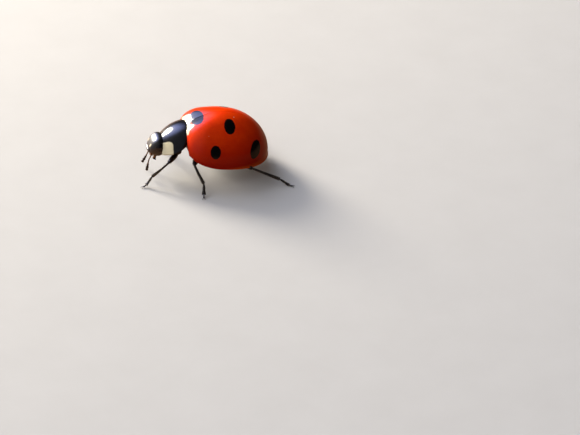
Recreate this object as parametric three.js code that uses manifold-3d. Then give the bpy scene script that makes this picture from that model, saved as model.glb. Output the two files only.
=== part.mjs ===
// A seven-spot ladybird at life size, walking, as separate closed solids for a museum model.
// Millimetres. +X towards the head, +Y to the animal's left, +Z up, and the floor is z = 0.
import * as THREE from "three";
import { mergeVertices } from "three/addons/utils/BufferGeometryUtils.js";
import Module from "manifold-3d";

const wasm = await Module();
wasm.setup();

// ---- Driving dimensions -------------------------------------------------------------------

const GAP = 0.03; // clearance between neighbouring plates and segments
const BODY_X = -0.93; // middle of the wing cases, which puts the origin at mid-footprint
const RIM_HEIGHT = 1.2; // wing-case rim above the floor, at mid-length
const BODY_PITCH = 7.5; // degrees, head end up

const ELYTRA = {
  length: 5.3,
  halfWidth: 2.51,
  height: 2.66, // rim to crown
  widest: 0.39, // share of the length, from the front
  bulge: 0.06, // the front end's swell past the length, as a share of it
  shoulder: 2.82, // x where the front end is cut off square
  shell: 0.5,
  rimRise: 0.48, // how much higher the rim is at the front than at mid-length
};
const SCUTELLUM = { base: 2.52, tip: 2.14, halfWidth: 0.2 };

// The belly's plates, front to rear. Each x is from the middle of the wing cases.
const BELLY = { front: 2.62, mesothorax: 1.6, metathorax: 0.1, depth: 0.52 };
const STERNITES = 5;
const STERNITE_LENGTH = 0.5;
const STERNITE_STEP = 0.07;
const STERNITE_LAP = 0.06;

const PRONOTUM = {
  rear: [2.36, 2.15], // x from mid-elytra and z from the rim, at the middle of the rear edge
  pitch: 25.5, // degrees, front edge down
  start: 0.15, // the rear edge's middle, ahead of that point
  length: 1.87, // on the midline
  cornerAdvance: 0.66, // rear corners lie this far ahead of the middle of the rear edge
  cornerRound: 0.24, // and their tips this much further, which rounds them
  frontNotch: 0.44, // front corners reach this far past the middle of the front edge
  frontRound: 0.1, // and their tips this much less, which rounds them
  rearHalfWidth: 1.62,
  frontHalfWidth: 1.11,
  sideBulge: 0.1,
  rearSag: 0.56, // crown to side margin
  frontSag: 0.52,
  midSag: 0.26, // how much further the margin hangs at mid-length
  arch: 0.2, // rise of the midline between its ends
  thickness: 0.5,
  edge: 0.2, // thickness at the rim
};
const PROTHORAX = { centre: [1.32, 0, -0.86], radii: [1.05, 0.88, 0.6] };

const HEAD = {
  centre: [4.37, 0.74], // x from mid-elytra and z from the rim
  pitch: 56, // degrees, mouth down
  halfLength: 0.7,
  halfWidth: 0.78,
  halfDepth: 0.55,
};
// Everything on the head is in its own frame: x towards the mouth, z out of the forehead.
const EYE = { centre: [-0.12, 0.6, 0], radii: [0.36, 0.25, 0.36] };
const LABRUM = { centre: [0.66, 0, 0.06], radii: [0.2, 0.3, 0.2] };
const MANDIBLE = { centre: [0.66, 0.19, -0.22], radii: [0.24, 0.18, 0.16] };
const PALP = { thickness: 0.42, root: [0.48, 0.42, -0.22], tip: [0.86, 0.42, -0.32] };
const ANTENNA = {
  thickness: 0.45,
  clubSwell: 0.1, // the tip's extra girth, as a share of the stalk's
  left: [[0.56, 0.5, 0.1], [1.0, 0.54, 0.1], [1.66, 0.5, -0.2]],
  right: [[0.56, 0.5, 0.0], [1.06, 0.54, -0.04], [1.78, 0.62, -0.14]],
};

const LEG_THICKNESS = 0.5;
const COXA_SHARE = 0.28; // of the way from hip to knee
const FEMUR_SWELL = 0.18; // the thigh's extra girth at mid-length, as a share of the shin's
const FOOT_SINK = 0.06; // the toe's round end is cut this deep, to stand on a flat
// Hips are mirrored. Each knee, ankle and toe is where the walking stance puts it.
const HIPS = { fore: [2.08, 0.42, 1.62], mid: [0.95, 0.72, 1.15], hind: [-1.05, 0.8, 0.8] };
const LEGS = {
  fore_left: { knee: [3.0, 1.75, 1.62], ankle: [4.05, 1.6, 0.62], toe: [4.72, 1.86] },
  fore_right: { knee: [2.75, -1.85, 1.55], ankle: [2.95, -2.55, 0.62], toe: [3.0, -3.35] },
  mid_left: { knee: [1.47, 2.15, 1.56], ankle: [1.01, 3.03, 0.62], toe: [1.16, 3.85] },
  mid_right: { knee: [0.6, -2.3, 1.45], ankle: [0.25, -3.15, 0.62], toe: [0.1, -3.85] },
  hind_left: { knee: [-2.2, 2.3, 0.95], ankle: [-3.86, 2.9, 0.34], toe: [-4.62, 3.42] },
  hind_right: { knee: [-2.0, -2.1, 1.0], ankle: [-2.95, -2.9, 0.5], toe: [-3.35, -3.5] },
};

// ---- Colours ------------------------------------------------------------------------------

const MATERIALS = {
  red_shell: new THREE.MeshStandardMaterial({ color: 0xd42a06, roughness: 0.22, metalness: 0 }),
  black_shell: new THREE.MeshStandardMaterial({ color: 0x0d0d10, roughness: 0.25, metalness: 0 }),
  black_leg: new THREE.MeshStandardMaterial({ color: 0x0b0a0b, roughness: 0.4, metalness: 0 }),
  eye: new THREE.MeshStandardMaterial({ color: 0x121214, roughness: 0.15, metalness: 0 }),
  brown_feeler: new THREE.MeshStandardMaterial({ color: 0x2a160c, roughness: 0.45, metalness: 0 }),
};

// ---- Frames -------------------------------------------------------------------------------

const radians = THREE.MathUtils.degToRad;
const ladybird = new THREE.Group();

function frameAt([x, z], noseDown) {
  const frame = new THREE.Group();
  frame.position.set(BODY_X + x, 0, RIM_HEIGHT + z);
  frame.rotation.y = radians(noseDown);
  ladybird.add(frame);
  frame.updateMatrixWorld(true);
  return frame;
}

const body = frameAt([0, 0], -BODY_PITCH);
const collar = frameAt(PRONOTUM.rear, PRONOTUM.pitch);
const skull = frameAt(HEAD.centre, HEAD.pitch);

// ---- Solids -------------------------------------------------------------------------------

// A closed geometry, placed by its frame, as a solid for cutting and joining.
function toSolid(geometry, frame = ladybird) {
  const bare = geometry.clone();
  bare.deleteAttribute("normal");
  bare.deleteAttribute("uv");
  const merged = mergeVertices(bare, 1e-5).applyMatrix4(frame.matrixWorld);
  return new wasm.Manifold(
    new wasm.Mesh({
      numProp: 3,
      vertProperties: merged.attributes.position.array,
      triVerts: new Uint32Array(merged.index.array),
    }),
  );
}

function toGeometry(solid) {
  const mesh = solid.getMesh();
  const geometry = new THREE.BufferGeometry();
  geometry.setAttribute("position", new THREE.BufferAttribute(mesh.vertProperties, 3));
  geometry.setIndex(new THREE.BufferAttribute(mesh.triVerts, 1));
  const flat = geometry.toNonIndexed();
  flat.computeVertexNormals();
  return flat;
}

// A solid on a sphere's grid. place(v, angle) gives the point at the share v of the way from the
// front pole to the rear one; angle 0 is underneath, and a quarter turn is the left side.
function gridSolid(around, along, place, frame) {
  const geometry = new THREE.SphereGeometry(1, around, along);
  const { position, uv } = geometry.attributes;
  for (let i = 0; i < position.count; i++) {
    position.setXYZ(i, ...place(1 - uv.getY(i), 2 * Math.PI * uv.getX(i)));
  }
  return toSolid(geometry, frame);
}

function block(size, centre, frame) {
  return toSolid(new THREE.BoxGeometry(...size).translate(...centre), frame);
}

function ellipsoid({ centre, radii }, grow, frame, side = 1, segments = 10) {
  const geometry = new THREE.SphereGeometry(1, segments, Math.round(segments * 0.6));
  geometry.scale(...radii.map((radius) => radius + grow));
  return toSolid(geometry.translate(centre[0], centre[1] * side, centre[2]), frame);
}

// A round-ended limb from a to b. girth(share) is its radius there, as a share of the given one.
function limb(a, b, radius, girth = () => 1) {
  const [start, end] = [new THREE.Vector3(...a), new THREE.Vector3(...b)];
  const length = start.distanceTo(end);
  const geometry = new THREE.CapsuleGeometry(radius, length, 2, 8, 2);
  const position = geometry.attributes.position;
  for (let i = 0; i < position.count; i++) {
    const y = position.getY(i);
    const inside = THREE.MathUtils.clamp(y, -length / 2, length / 2);
    const scale = girth(inside / length + 0.5);
    position.setXYZ(i, position.getX(i) * scale, inside + (y - inside) * scale, position.getZ(i) * scale);
  }
  const along = new THREE.Object3D();
  along.position.copy(start).lerp(end, 0.5);
  along.quaternion.setFromUnitVectors(THREE.Object3D.DEFAULT_UP, end.sub(start).normalize());
  along.updateMatrixWorld();
  return toSolid(geometry, along);
}

// Every part built so far, grown by the gap. Each new part gives way to all of them.
const taken = [];

function addPart(name, make, material, frame = ladybird) {
  const whole = taken.reduce((left, other) => left.subtract(other), make(0));
  const [main] = whole.decompose().sort((a, b) => b.volume() - a.volume());
  const mesh = new THREE.Mesh(toGeometry(main), MATERIALS[material]);
  mesh.geometry.applyMatrix4(frame.matrixWorld.clone().invert());
  mesh.name = name;
  frame.add(mesh);
  taken.push(make(GAP));
}

const SIDES = { left: 1, right: -1 };

function addPair(name, make, material, frame) {
  for (const [side, sign] of Object.entries(SIDES)) {
    addPart(`${name}_${side}`, (grow) => make(grow, sign), material, frame);
  }
}

// ---- The back: scutellum and wing cases -----------------------------------------------------

const FRONT = { reach: ELYTRA.widest + ELYTRA.bulge, plan: [2.8, 0.229], profile: [2, 0.247] };
const REAR = { reach: 1 - ELYTRA.widest, plan: [2.46, 0.5], profile: [1.98, 0.5] };
const WIDEST_X = ELYTRA.length * (0.5 - ELYTRA.widest);

// The domed back, grown or shrunk, over a belly. stretch carries its front end further forward.
function dome(grow, belly, around, along, stretch = 1) {
  const place = (v, angle) => {
    const end = v < 0.5 ? FRONT : REAR;
    const away = Math.abs(Math.cos(Math.PI * v));
    const [plan, profile] = [end.plan, end.profile].map(([power, root]) => (1 - away ** power) ** root);
    const reach = away * (end.reach * ELYTRA.length + grow) * (v < 0.5 ? stretch : -1);
    const ahead = v < 0.5 ? away * (end.reach / ELYTRA.widest) : 0;
    const up = -Math.cos(angle);
    const sideways = 1 - Math.acos(Math.min(1, Math.abs(Math.sin(angle)))) / (Math.PI / 2);
    const rise = ELYTRA.rimRise * ahead ** 2 * (1 - plan * (1 - sideways));
    const height = up > 0 ? (ELYTRA.height + grow) * profile : (belly + grow) * plan;
    return [WIDEST_X + reach, (ELYTRA.halfWidth + grow) * plan * Math.sin(angle), rise + up * height];
  };
  return gridSolid(around, along, place, body);
}

// The space under the wing cases, open in front, over a belly of its own.
const underWings = (grow, belly) => dome(grow - ELYTRA.shell, belly, 14, 9, 1.25);

function shieldPrism(grow) {
  const { base, tip, halfWidth } = SCUTELLUM;
  const outline = new THREE.Shape()
    .moveTo(ELYTRA.length, halfWidth + grow)
    .lineTo(base, halfWidth + grow)
    .lineTo(tip - 2 * grow, 0)
    .lineTo(base, -halfWidth - grow)
    .lineTo(ELYTRA.length, -halfWidth - grow);
  return toSolid(new THREE.ExtrudeGeometry(outline, { depth: 4, bevelEnabled: false }), body);
}

function wingCases(grow) {
  const shell = dome(grow, 0.01, 26, 17).subtract(underWings(-grow, 1.6));
  return shell.intersect(block([9, 9, 9], [ELYTRA.shoulder + grow - 4.5, 0, 0], body));
}

addPart("scutellum", (grow) => wingCases(grow).intersect(shieldPrism(grow)), "black_shell", body);
addPair(
  "elytron",
  (grow, sign) => wingCases(grow).intersect(block([9, 4, 9], [0, sign * (2 + GAP / 2 - grow), 0], body)),
  "red_shell",
  body,
);

// ---- Pronotum -----------------------------------------------------------------------------

// A curved plate on a box's grid: a runs from the rear edge to the front one, b across.
function pronotumPlate(grow) {
  const p = PRONOTUM;
  const geometry = new THREE.BoxGeometry(1, 2, 1, 7, 12, 1);
  const position = geometry.attributes.position;
  for (let i = 0; i < position.count; i++) {
    const [a, b] = [position.getX(i) + 0.5, position.getY(i)];
    const mid = 4 * a * (1 - a);
    const out = Math.abs(b);
    const rear = p.start - grow + p.cornerAdvance * out ** 2.2 + p.cornerRound * out ** 8;
    const front = p.start + p.length + grow + p.frontNotch * out ** 5 - p.frontRound * out ** 16;
    const half = THREE.MathUtils.lerp(p.rearHalfWidth, p.frontHalfWidth, a ** 1.6) + p.sideBulge * mid + grow;
    const sag = THREE.MathUtils.lerp(p.rearSag, p.frontSag, a) + p.midSag * mid;
    const top = p.arch * mid - sag * out ** 2.3;
    const thickness = THREE.MathUtils.lerp(p.thickness, p.edge, Math.max(out, Math.abs(2 * a - 1)) ** 3);
    const z = top + (position.getZ(i) > 0 ? grow : -thickness - grow);
    position.setXYZ(i, THREE.MathUtils.lerp(rear, front, a), b * half, z);
  }
  return toSolid(geometry, collar);
}

addPart("pronotum", (grow) => pronotumPlate(grow).subtract(dome(GAP, 0.01, 26, 17)), "black_shell", collar);

// ---- Head ---------------------------------------------------------------------------------

function headSolid(grow) {
  return gridSolid(
    14,
    9,
    (v, angle) => {
      const away = Math.abs(Math.cos(Math.PI * v));
      const plan = v < 0.5 ? (1 - away ** 2.4) ** 0.6 : (1 - away ** 3) ** 0.4;
      const depth = v < 0.5 ? (1 - away ** 2.2) ** 0.5 : (1 - away ** 2.6) ** 0.45;
      return [
        Math.cos(Math.PI * v) * (HEAD.halfLength + grow),
        (HEAD.halfWidth + grow) * plan * Math.sin(angle),
        -(HEAD.halfDepth + grow) * depth * Math.cos(angle),
      ];
    },
    skull,
  );
}

function onSkull([x, y, z], sign) {
  return new THREE.Vector3(x, y * sign, z).applyMatrix4(skull.matrixWorld).toArray();
}

function antenna(grow, sign) {
  const radius = ANTENNA.thickness / 2 + grow;
  const points = sign > 0 ? ANTENNA.left : ANTENNA.right;
  const [root, elbow, tip] = points.map((point) => onSkull(point, sign));
  const club = (share) => 1 + ANTENNA.clubSwell * share ** 3;
  return limb(root, elbow, radius).add(limb(elbow, tip, radius, club));
}

addPair("eye", (grow, sign) => ellipsoid(EYE, grow, skull, sign), "eye", skull);
addPart("labrum", (grow) => ellipsoid(LABRUM, grow, skull), "black_shell", skull);
addPair("mandible", (grow, sign) => ellipsoid(MANDIBLE, grow, skull, sign), "black_shell", skull);
addPair("antenna", antenna, "brown_feeler", skull);
addPair(
  "palp",
  (grow, sign) => limb(onSkull(PALP.root, sign), onSkull(PALP.tip, sign), PALP.thickness / 2 + grow),
  "black_leg",
  skull,
);
addPart("head", headSolid, "black_shell", skull);

// ---- Legs ---------------------------------------------------------------------------------

const shaft = LEG_THICKNESS / 2;
const aboveFloor = block([16, 16, 8], [0, 0, 4]);

for (const [name, { knee, ankle, toe }] of Object.entries(LEGS)) {
  const [pair, side] = name.split("_");
  const [hipX, hipY, hipZ] = HIPS[pair];
  const hip = [hipX, hipY * SIDES[side], hipZ];
  const trochanter = new THREE.Vector3(...hip).lerp(new THREE.Vector3(...knee), COXA_SHARE).toArray();
  const sole = [...toe, shaft - FOOT_SINK];
  const thigh = (share) => 1 + FEMUR_SWELL * Math.sin(Math.PI * share);
  const shin = (share) => 0.9 + 0.1 * share;
  addPart(`${name}_coxa`, (grow) => limb(hip, trochanter, shaft + 0.05 + grow), "black_leg");
  addPart(`${name}_femur`, (grow) => limb(trochanter, knee, shaft + grow, thigh), "black_leg");
  addPart(`${name}_tibia`, (grow) => limb(knee, ankle, shaft + grow, shin), "black_leg");
  addPart(`${name}_tarsus`, (grow) => limb(ankle, sole, shaft + grow).intersect(aboveFloor), "black_leg");
}

// ---- Thorax and abdomen -----------------------------------------------------------------------

// The trunk between two x, under the wing cases and over a belly of the given depth.
function trunk(grow, rear, front, depth) {
  const slab = block([front - rear + 2 * grow, 9, 9], [(front + rear) / 2, 0, 0], body);
  return underWings(grow - GAP, depth).intersect(slab);
}

function abdomen(grow) {
  const sternites = Array.from({ length: STERNITES }, (_, i) => {
    const front = BELLY.metathorax - GAP - i * STERNITE_LENGTH;
    const rear = i === STERNITES - 1 ? -ELYTRA.length : front - STERNITE_LENGTH - STERNITE_LAP;
    return trunk(grow, rear, front, BELLY.depth - i * STERNITE_STEP);
  });
  return sternites.reduce((all, one) => all.add(one));
}

addPart("prothorax", (grow) => ellipsoid(PROTHORAX, grow, collar, 1, 12), "black_shell", collar);
addPart("mesothorax", (grow) => trunk(grow, BELLY.mesothorax, BELLY.front, BELLY.depth), "black_shell", body);
addPart(
  "metathorax",
  (grow) => trunk(grow, BELLY.metathorax, BELLY.mesothorax, BELLY.depth),
  "black_shell",
  body,
);
addPart("abdomen", abdomen, "black_shell", body);

export default ladybird;
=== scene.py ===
# %% [markdown]
# # A seven-spot ladybird at life size
#
# This script dresses the measured solids of a ladybird with the surfaces a museum model would show:
# lacquered wing cases with round spots, a black shield with cream corners, a pitted head, thin hairy legs
# and clubbed feelers. The body is under 8 mm long, so sizes are written in millimetres, and MM turns
# them into Blender's metres.
#
# The solids come first, and most of the new surfaces share their sizes. The limbs are slimmer than their
# solids, the wing cases are thinner, and the belly is a little deeper, with the middle and hind hips set
# a little higher to meet it.

# %% Load the solids
import math

import bmesh
import bpy
import numpy as np
from mathutils import Matrix, Vector


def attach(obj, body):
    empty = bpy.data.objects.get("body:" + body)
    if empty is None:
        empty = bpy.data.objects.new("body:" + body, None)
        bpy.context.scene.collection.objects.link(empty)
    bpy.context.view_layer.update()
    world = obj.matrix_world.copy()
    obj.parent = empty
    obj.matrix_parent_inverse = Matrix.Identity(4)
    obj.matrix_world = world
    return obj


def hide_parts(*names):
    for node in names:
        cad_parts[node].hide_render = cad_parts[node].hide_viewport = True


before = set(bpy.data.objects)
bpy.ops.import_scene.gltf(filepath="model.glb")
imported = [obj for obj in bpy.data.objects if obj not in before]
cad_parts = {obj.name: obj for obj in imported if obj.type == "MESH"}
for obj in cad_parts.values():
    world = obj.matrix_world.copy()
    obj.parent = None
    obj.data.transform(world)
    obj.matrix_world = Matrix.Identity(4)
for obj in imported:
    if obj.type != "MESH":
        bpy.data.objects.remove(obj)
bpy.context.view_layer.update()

MM = 0.001

# %% [markdown]
# ## Where the body parts lie
#
# A walking ladybird carries its wing cases tilted nose up, its shield sloping down in front of them, and
# its face almost upright. Three small coordinate frames hold those tilts, so that each part can be
# described level and then laid in place. They could be Blender empties, but plain matrices are quicker to
# read and can't be nudged by accident.

# %% Frames of the body, the shield and the head
BODY_X = -0.93
RIM_HEIGHT = 1.2
BODY_PITCH = 7.5


def frame_at(x, z, nose_down):
    """A frame x ahead of the middle of the wing cases and z above their rim, tipped nose down by degrees."""
    tip = Matrix.Rotation(math.radians(nose_down), 4, "Y")
    return Matrix.Translation((BODY_X + x, 0, RIM_HEIGHT + z)) @ tip


FLOOR = Matrix.Identity(4)
BODY = frame_at(0, 0, -BODY_PITCH)
COLLAR = frame_at(2.36, 2.15, 25.5)
SKULL = frame_at(4.37, 0.74, 56)


def placed(points, place):
    """Millimetre points of one frame, as metres in the model's own frame."""
    turn = np.array(place)
    return (np.asarray(points) @ turn[:3, :3].T + turn[:3, 3]) * MM


print("head centre, mm:", [round(value, 2) for value in SKULL.translation])

# %% [markdown]
# ## From a grid of points to a piece
#
# Almost every part of a beetle is a smooth shell, and a smooth shell is easiest to write as a grid of
# points: rows along it and columns round it. Sculpting or subdividing a rough cage would also work, but a
# grid keeps the shape tied to its sizes. One helper joins a grid into faces, and another gives the
# finished object its material, hangs it on the body's root and hides the solids it stands for.

# %% Grid helpers
def smooth_step(low, high, value):
    share = np.clip((np.asarray(value, float) - low) / (high - low), 0, 1)
    return share * share * (3 - 2 * share)


# Points closer than this are one point, and edges shorter than this are dropped. Both are in metres.
MERGE_DISTANCE = 1e-8
EMPTY_EDGE = 1e-9


def grid_faces(rows, columns, wrap):
    row, column = np.meshgrid(np.arange(rows - 1), np.arange(columns - (not wrap)), indexing="ij")
    beside = (column + 1) % columns
    corners = [row * columns + column, row * columns + beside,
               (row + 1) * columns + beside, (row + 1) * columns + column]
    return np.stack(corners, -1).reshape(-1, 4)


def mesh_from_grid(name, points, wrap, outward_from=None):
    """A mesh from points[row, column]. Rows that shrink to a point become poles, and faces look outwards."""
    rows, columns = points.shape[:2]
    mesh = bpy.data.meshes.new(name)
    mesh.from_pydata(points.reshape(-1, 3).tolist(), [], grid_faces(rows, columns, wrap).tolist())
    build = bmesh.new()
    build.from_mesh(mesh)
    bmesh.ops.remove_doubles(build, verts=build.verts, dist=MERGE_DISTANCE)
    bmesh.ops.dissolve_degenerate(build, edges=build.edges, dist=EMPTY_EDGE)
    if outward_from is None:
        bmesh.ops.recalc_face_normals(build, faces=build.faces)
    else:
        centre = Vector(outward_from)
        outward = sum((face.calc_center_median() - centre).dot(face.normal) for face in build.faces)
        if outward < 0:
            bmesh.ops.reverse_faces(build, faces=build.faces)
    build.to_mesh(mesh)
    build.free()
    return mesh


def add_piece(name, mesh, material, nodes=()):
    """Puts a mesh in the scene as one piece of the ladybird, standing for the named solids."""
    piece = bpy.data.objects.new(name, mesh)
    bpy.context.collection.objects.link(piece)
    mesh.materials.append(material)
    mesh.polygons.foreach_set("use_smooth", [True] * len(mesh.polygons))
    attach(piece, "root")
    if nodes:
        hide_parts(*nodes)
    print(name, "faces:", len(mesh.polygons))
    return piece


def settle(piece, *modifiers):
    """Adds each modifier with its settings, then keeps the result as the piece's own mesh."""
    for kind, settings in modifiers:
        modifier = piece.modifiers.new(kind.title(), kind)
        for key, value in settings.items():
            setattr(modifier, key, value)
    view = bpy.context.evaluated_depsgraph_get()
    finished = bpy.data.meshes.new_from_object(piece.evaluated_get(view))
    finished.name = piece.data.name
    piece.modifiers.clear()
    piece.data = finished
    return piece


SIDES = {"left": 1, "right": -1}

# %% [markdown]
# ## Building materials from small groups
#
# The shells share a few surface effects: fine pits, cloudy colour, dust, and markings with a soft uneven
# edge. Each is a shader node group, built once and then placed in every material that needs it, with its
# own numbers. Painting image textures would be the other way, but an image goes soft when the camera
# comes close, and a beetle is all close-ups.

# %% Node helpers
def add_node(tree, kind, settings=None, inputs=None):
    """A node with its settings, and its inputs either set or linked."""
    node = tree.nodes.new(kind)
    for key, value in (settings or {}).items():
        setattr(node, key, value)
    for key, value in (inputs or {}).items():
        if isinstance(value, bpy.types.NodeSocket):
            tree.links.new(value, node.inputs[key])
        else:
            node.inputs[key].default_value = value
    return node


def math_node(tree, operation, first, second=0.0):
    return add_node(tree, "ShaderNodeMath", {"operation": operation}, {0: first, 1: second}).outputs[0]


def ramp_node(tree, value, low, high, out_low=0.0, out_high=1.0):
    """A smooth step from out_low to out_high as value goes from low to high."""
    settings = {"interpolation_type": "SMOOTHSTEP"}
    inputs = {"Value": value, "From Min": low, "From Max": high, "To Min": out_low, "To Max": out_high}
    return add_node(tree, "ShaderNodeMapRange", settings, inputs).outputs["Result"]


def noise_node(tree, position, scale, detail, roughness=0.5):
    inputs = {"Vector": position, "Scale": scale, "Detail": detail, "Roughness": roughness}
    return add_node(tree, "ShaderNodeTexNoise", {}, inputs).outputs["Fac"]


def cell_node(tree, position, scale, randomness=1.0):
    """A Voronoi texture's outputs: each cell's own random Color, and the Distance from its middle."""
    inputs = {"Vector": position, "Scale": scale, "Randomness": randomness}
    return add_node(tree, "ShaderNodeTexVoronoi", {"feature": "F1"}, inputs).outputs


# A Mix node lists its number and vector sockets before those for colours.
MIX_COLOUR_INPUTS = (6, 7)
MIX_COLOUR_OUTPUT = 2


def mix_colour(tree, share, first, second):
    node = add_node(tree, "ShaderNodeMix", {"data_type": "RGBA"}, {"Factor": share})
    for index, value in zip(MIX_COLOUR_INPUTS, (first, second)):
        if isinstance(value, bpy.types.NodeSocket):
            tree.links.new(value, node.inputs[index])
        else:
            node.inputs[index].default_value = value
    return node.outputs[MIX_COLOUR_OUTPUT]


def new_group(name, inputs, outputs):
    """An empty shader group with named sockets. Each input is (name, kind, default)."""
    tree = bpy.data.node_groups.new(name, "ShaderNodeTree")
    for label, kind, value in inputs:
        socket = tree.interface.new_socket(name=label, in_out="INPUT", socket_type=kind)
        if value is not None:
            socket.default_value = value
    for label, kind in outputs:
        tree.interface.new_socket(name=label, in_out="OUTPUT", socket_type=kind)
    return tree, tree.nodes.new("NodeGroupInput").outputs, tree.nodes.new("NodeGroupOutput").inputs


def place_group(tree, group, **inputs):
    """A group placed in a material. Keywords name its inputs, with _ for a space."""
    return add_node(tree, "ShaderNodeGroup", {"node_tree": group},
                    {key.replace("_", " "): value for key, value in inputs.items()}).outputs


FLOAT, VECTOR, COLOUR = "NodeSocketFloat", "NodeSocketVector", "NodeSocketColor"

# %% [markdown]
# ### Fine pits
#
# A ladybird's shell looks polished, yet it is covered in tiny round pits, closer than the eye can part.
# They take the hardness off every reflection. A Voronoi texture gives one round dimple to each cell, and
# two noises vary their depth and roll the surface very slightly, because no grown shell is perfectly
# even.

# %% Group: pitted shell
PIT_SCATTER = 0.85
PATCHES_PER_MM = 1.7
PATCH_EDGES = (0.35, 0.65)
SHALLOWEST_PIT = 0.35
ROLLS_PER_MM = 2.6

pitted_shell, take, give = new_group(
    "pitted shell",
    [("Position", VECTOR, None), ("Pits per mm", FLOAT, 12.0), ("Pit Size", FLOAT, 0.3),
     ("Waviness", FLOAT, 0.3)],
    [("Height", FLOAT), ("Pit Mask", FLOAT)],
)
per_metre = math_node(pitted_shell, "MULTIPLY", take["Pits per mm"], 1 / MM)
cells = cell_node(pitted_shell, take["Position"], per_metre, PIT_SCATTER)["Distance"]
dimple = ramp_node(pitted_shell, cells, 0.0, take["Pit Size"])
patchy = noise_node(pitted_shell, take["Position"], PATCHES_PER_MM / MM, detail=2.0)
shallow = ramp_node(pitted_shell, patchy, *PATCH_EDGES, SHALLOWEST_PIT, 1.0)
pit = math_node(pitted_shell, "MULTIPLY", math_node(pitted_shell, "SUBTRACT", 1.0, dimple), shallow)
rolling = noise_node(pitted_shell, take["Position"], ROLLS_PER_MM / MM, detail=3.0)
rolled = math_node(pitted_shell, "MULTIPLY", rolling, take["Waviness"])
pitted_shell.links.new(math_node(pitted_shell, "SUBTRACT", rolled, pit), give["Height"])
pitted_shell.links.new(pit, give["Pit Mask"])
print(pitted_shell.name, "nodes:", len(pitted_shell.nodes))

# %% [markdown]
# ### Markings
#
# Each marking is grown into the shell, so its edge is soft and a little wavy. The group measures how far
# a point lies from an ellipse laid on the surface: the Mapping node in its Texture mode turns and shrinks
# space until the ellipse is a circle of radius one. Its Squareness is 2 for an ellipse, more for a
# rounded box, and close to 1 for a diamond. A noise pushes the edge about, and a smooth step softens it.

# %% Group: marking
EDGE_WAVES_PER_MM = 4.5

marking, take, give = new_group(
    "marking",
    [("Position", VECTOR, None), ("Centre", VECTOR, None), ("Turn", VECTOR, None), ("Size", VECTOR, None),
     ("Softness", FLOAT, 0.08), ("Wobble", FLOAT, 0.12), ("Squareness", FLOAT, 2.0)],
    [("Mask", FLOAT)],
)
flattened = add_node(marking, "ShaderNodeMapping", {"vector_type": "TEXTURE"},
                     {"Vector": take["Position"], "Location": take["Centre"], "Rotation": take["Turn"],
                      "Scale": take["Size"]}).outputs["Vector"]
sized = add_node(marking, "ShaderNodeVectorMath", {"operation": "ABSOLUTE"}, {0: flattened}).outputs[0]
axes = add_node(marking, "ShaderNodeSeparateXYZ", {}, {0: sized}).outputs
powers = [math_node(marking, "POWER", axis, take["Squareness"]) for axis in axes]
total = math_node(marking, "ADD", math_node(marking, "ADD", powers[0], powers[1]), powers[2])
distance = math_node(marking, "POWER", total, math_node(marking, "DIVIDE", 1.0, take["Squareness"]))
ragged = noise_node(marking, take["Position"], EDGE_WAVES_PER_MM / MM, detail=3.0)
push = math_node(marking, "MULTIPLY", math_node(marking, "SUBTRACT", ragged, 0.5), take["Wobble"])
reach = math_node(marking, "ADD", distance, push)
inner = math_node(marking, "SUBTRACT", 1.0, take["Softness"])
outer = math_node(marking, "ADD", 1.0, take["Softness"])
marking.links.new(ramp_node(marking, reach, inner, outer, 1.0, 0.0), give["Mask"])
print(marking.name, "nodes:", len(marking.nodes))

# %% [markdown]
# ### Cloudy colour
#
# Grown colour is never flat. This group mixes two close colours by a soft noise, so that a shell drifts
# gently between them, as lacquer over horn does.

# %% Group: cloudy colour
MID_GREY = (0.5, 0.5, 0.5, 1)

cloudy, take, give = new_group(
    "cloudy colour",
    [("Position", VECTOR, None), ("Colour A", COLOUR, MID_GREY), ("Colour B", COLOUR, MID_GREY),
     ("Clouds per mm", FLOAT, 1.0), ("Contrast", FLOAT, 0.2)],
    [("Colour", COLOUR)],
)
cloud_scale = math_node(cloudy, "MULTIPLY", take["Clouds per mm"], 1 / MM)
cloud = noise_node(cloudy, take["Position"], cloud_scale, detail=4.0, roughness=0.6)
low = math_node(cloudy, "SUBTRACT", 0.5, take["Contrast"])
high = math_node(cloudy, "ADD", 0.5, take["Contrast"])
share = add_node(cloudy, "ShaderNodeMapRange", {}, {"Value": cloud, "From Min": low, "From Max": high})
drifting = mix_colour(cloudy, share.outputs["Result"], take["Colour A"], take["Colour B"])
cloudy.links.new(drifting, give["Colour"])
print(cloudy.name, "nodes:", len(cloudy.nodes))

# %% [markdown]
# ### Dust
#
# A beetle that walks on timber carries specks of dust and pollen. Real specks are sparse and uneven, so
# the group keeps only a few Voronoi cells, chosen by each cell's own random colour, and turns the middle
# of each into a pale dot.

# %% Group: dust
LARGEST_SPECK = 0.9
SPECK_EDGE = 0.06

dust, take, give = new_group(
    "dust",
    [("Position", VECTOR, None), ("Specks per mm", FLOAT, 3.0), ("Share Kept", FLOAT, 0.1)],
    [("Mask", FLOAT)],
)
speck_scale = math_node(dust, "MULTIPLY", take["Specks per mm"], 1 / MM)
speck = cell_node(dust, take["Position"], speck_scale)
lottery = add_node(dust, "ShaderNodeSeparateColor", {}, {"Color": speck["Color"]}).outputs["Red"]
kept = math_node(dust, "LESS_THAN", lottery, take["Share Kept"])
size = math_node(dust, "MULTIPLY", lottery, LARGEST_SPECK)
dot = ramp_node(dust, speck["Distance"], size, math_node(dust, "ADD", size, SPECK_EDGE), 1.0, 0.0)
dust.links.new(math_node(dust, "MULTIPLY", dot, kept), give["Mask"])
print(dust.name, "nodes:", len(dust.nodes))

# %% [markdown]
# ### From groups to materials
#
# Every material starts as one Principled shader. Numbers that are the same all over go straight on its
# sockets, and only what varies over the surface is linked. The last three functions below place one
# group each.

# %% Material helpers
DUST_COLOUR = (0.75, 0.68, 0.55, 1)


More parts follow.
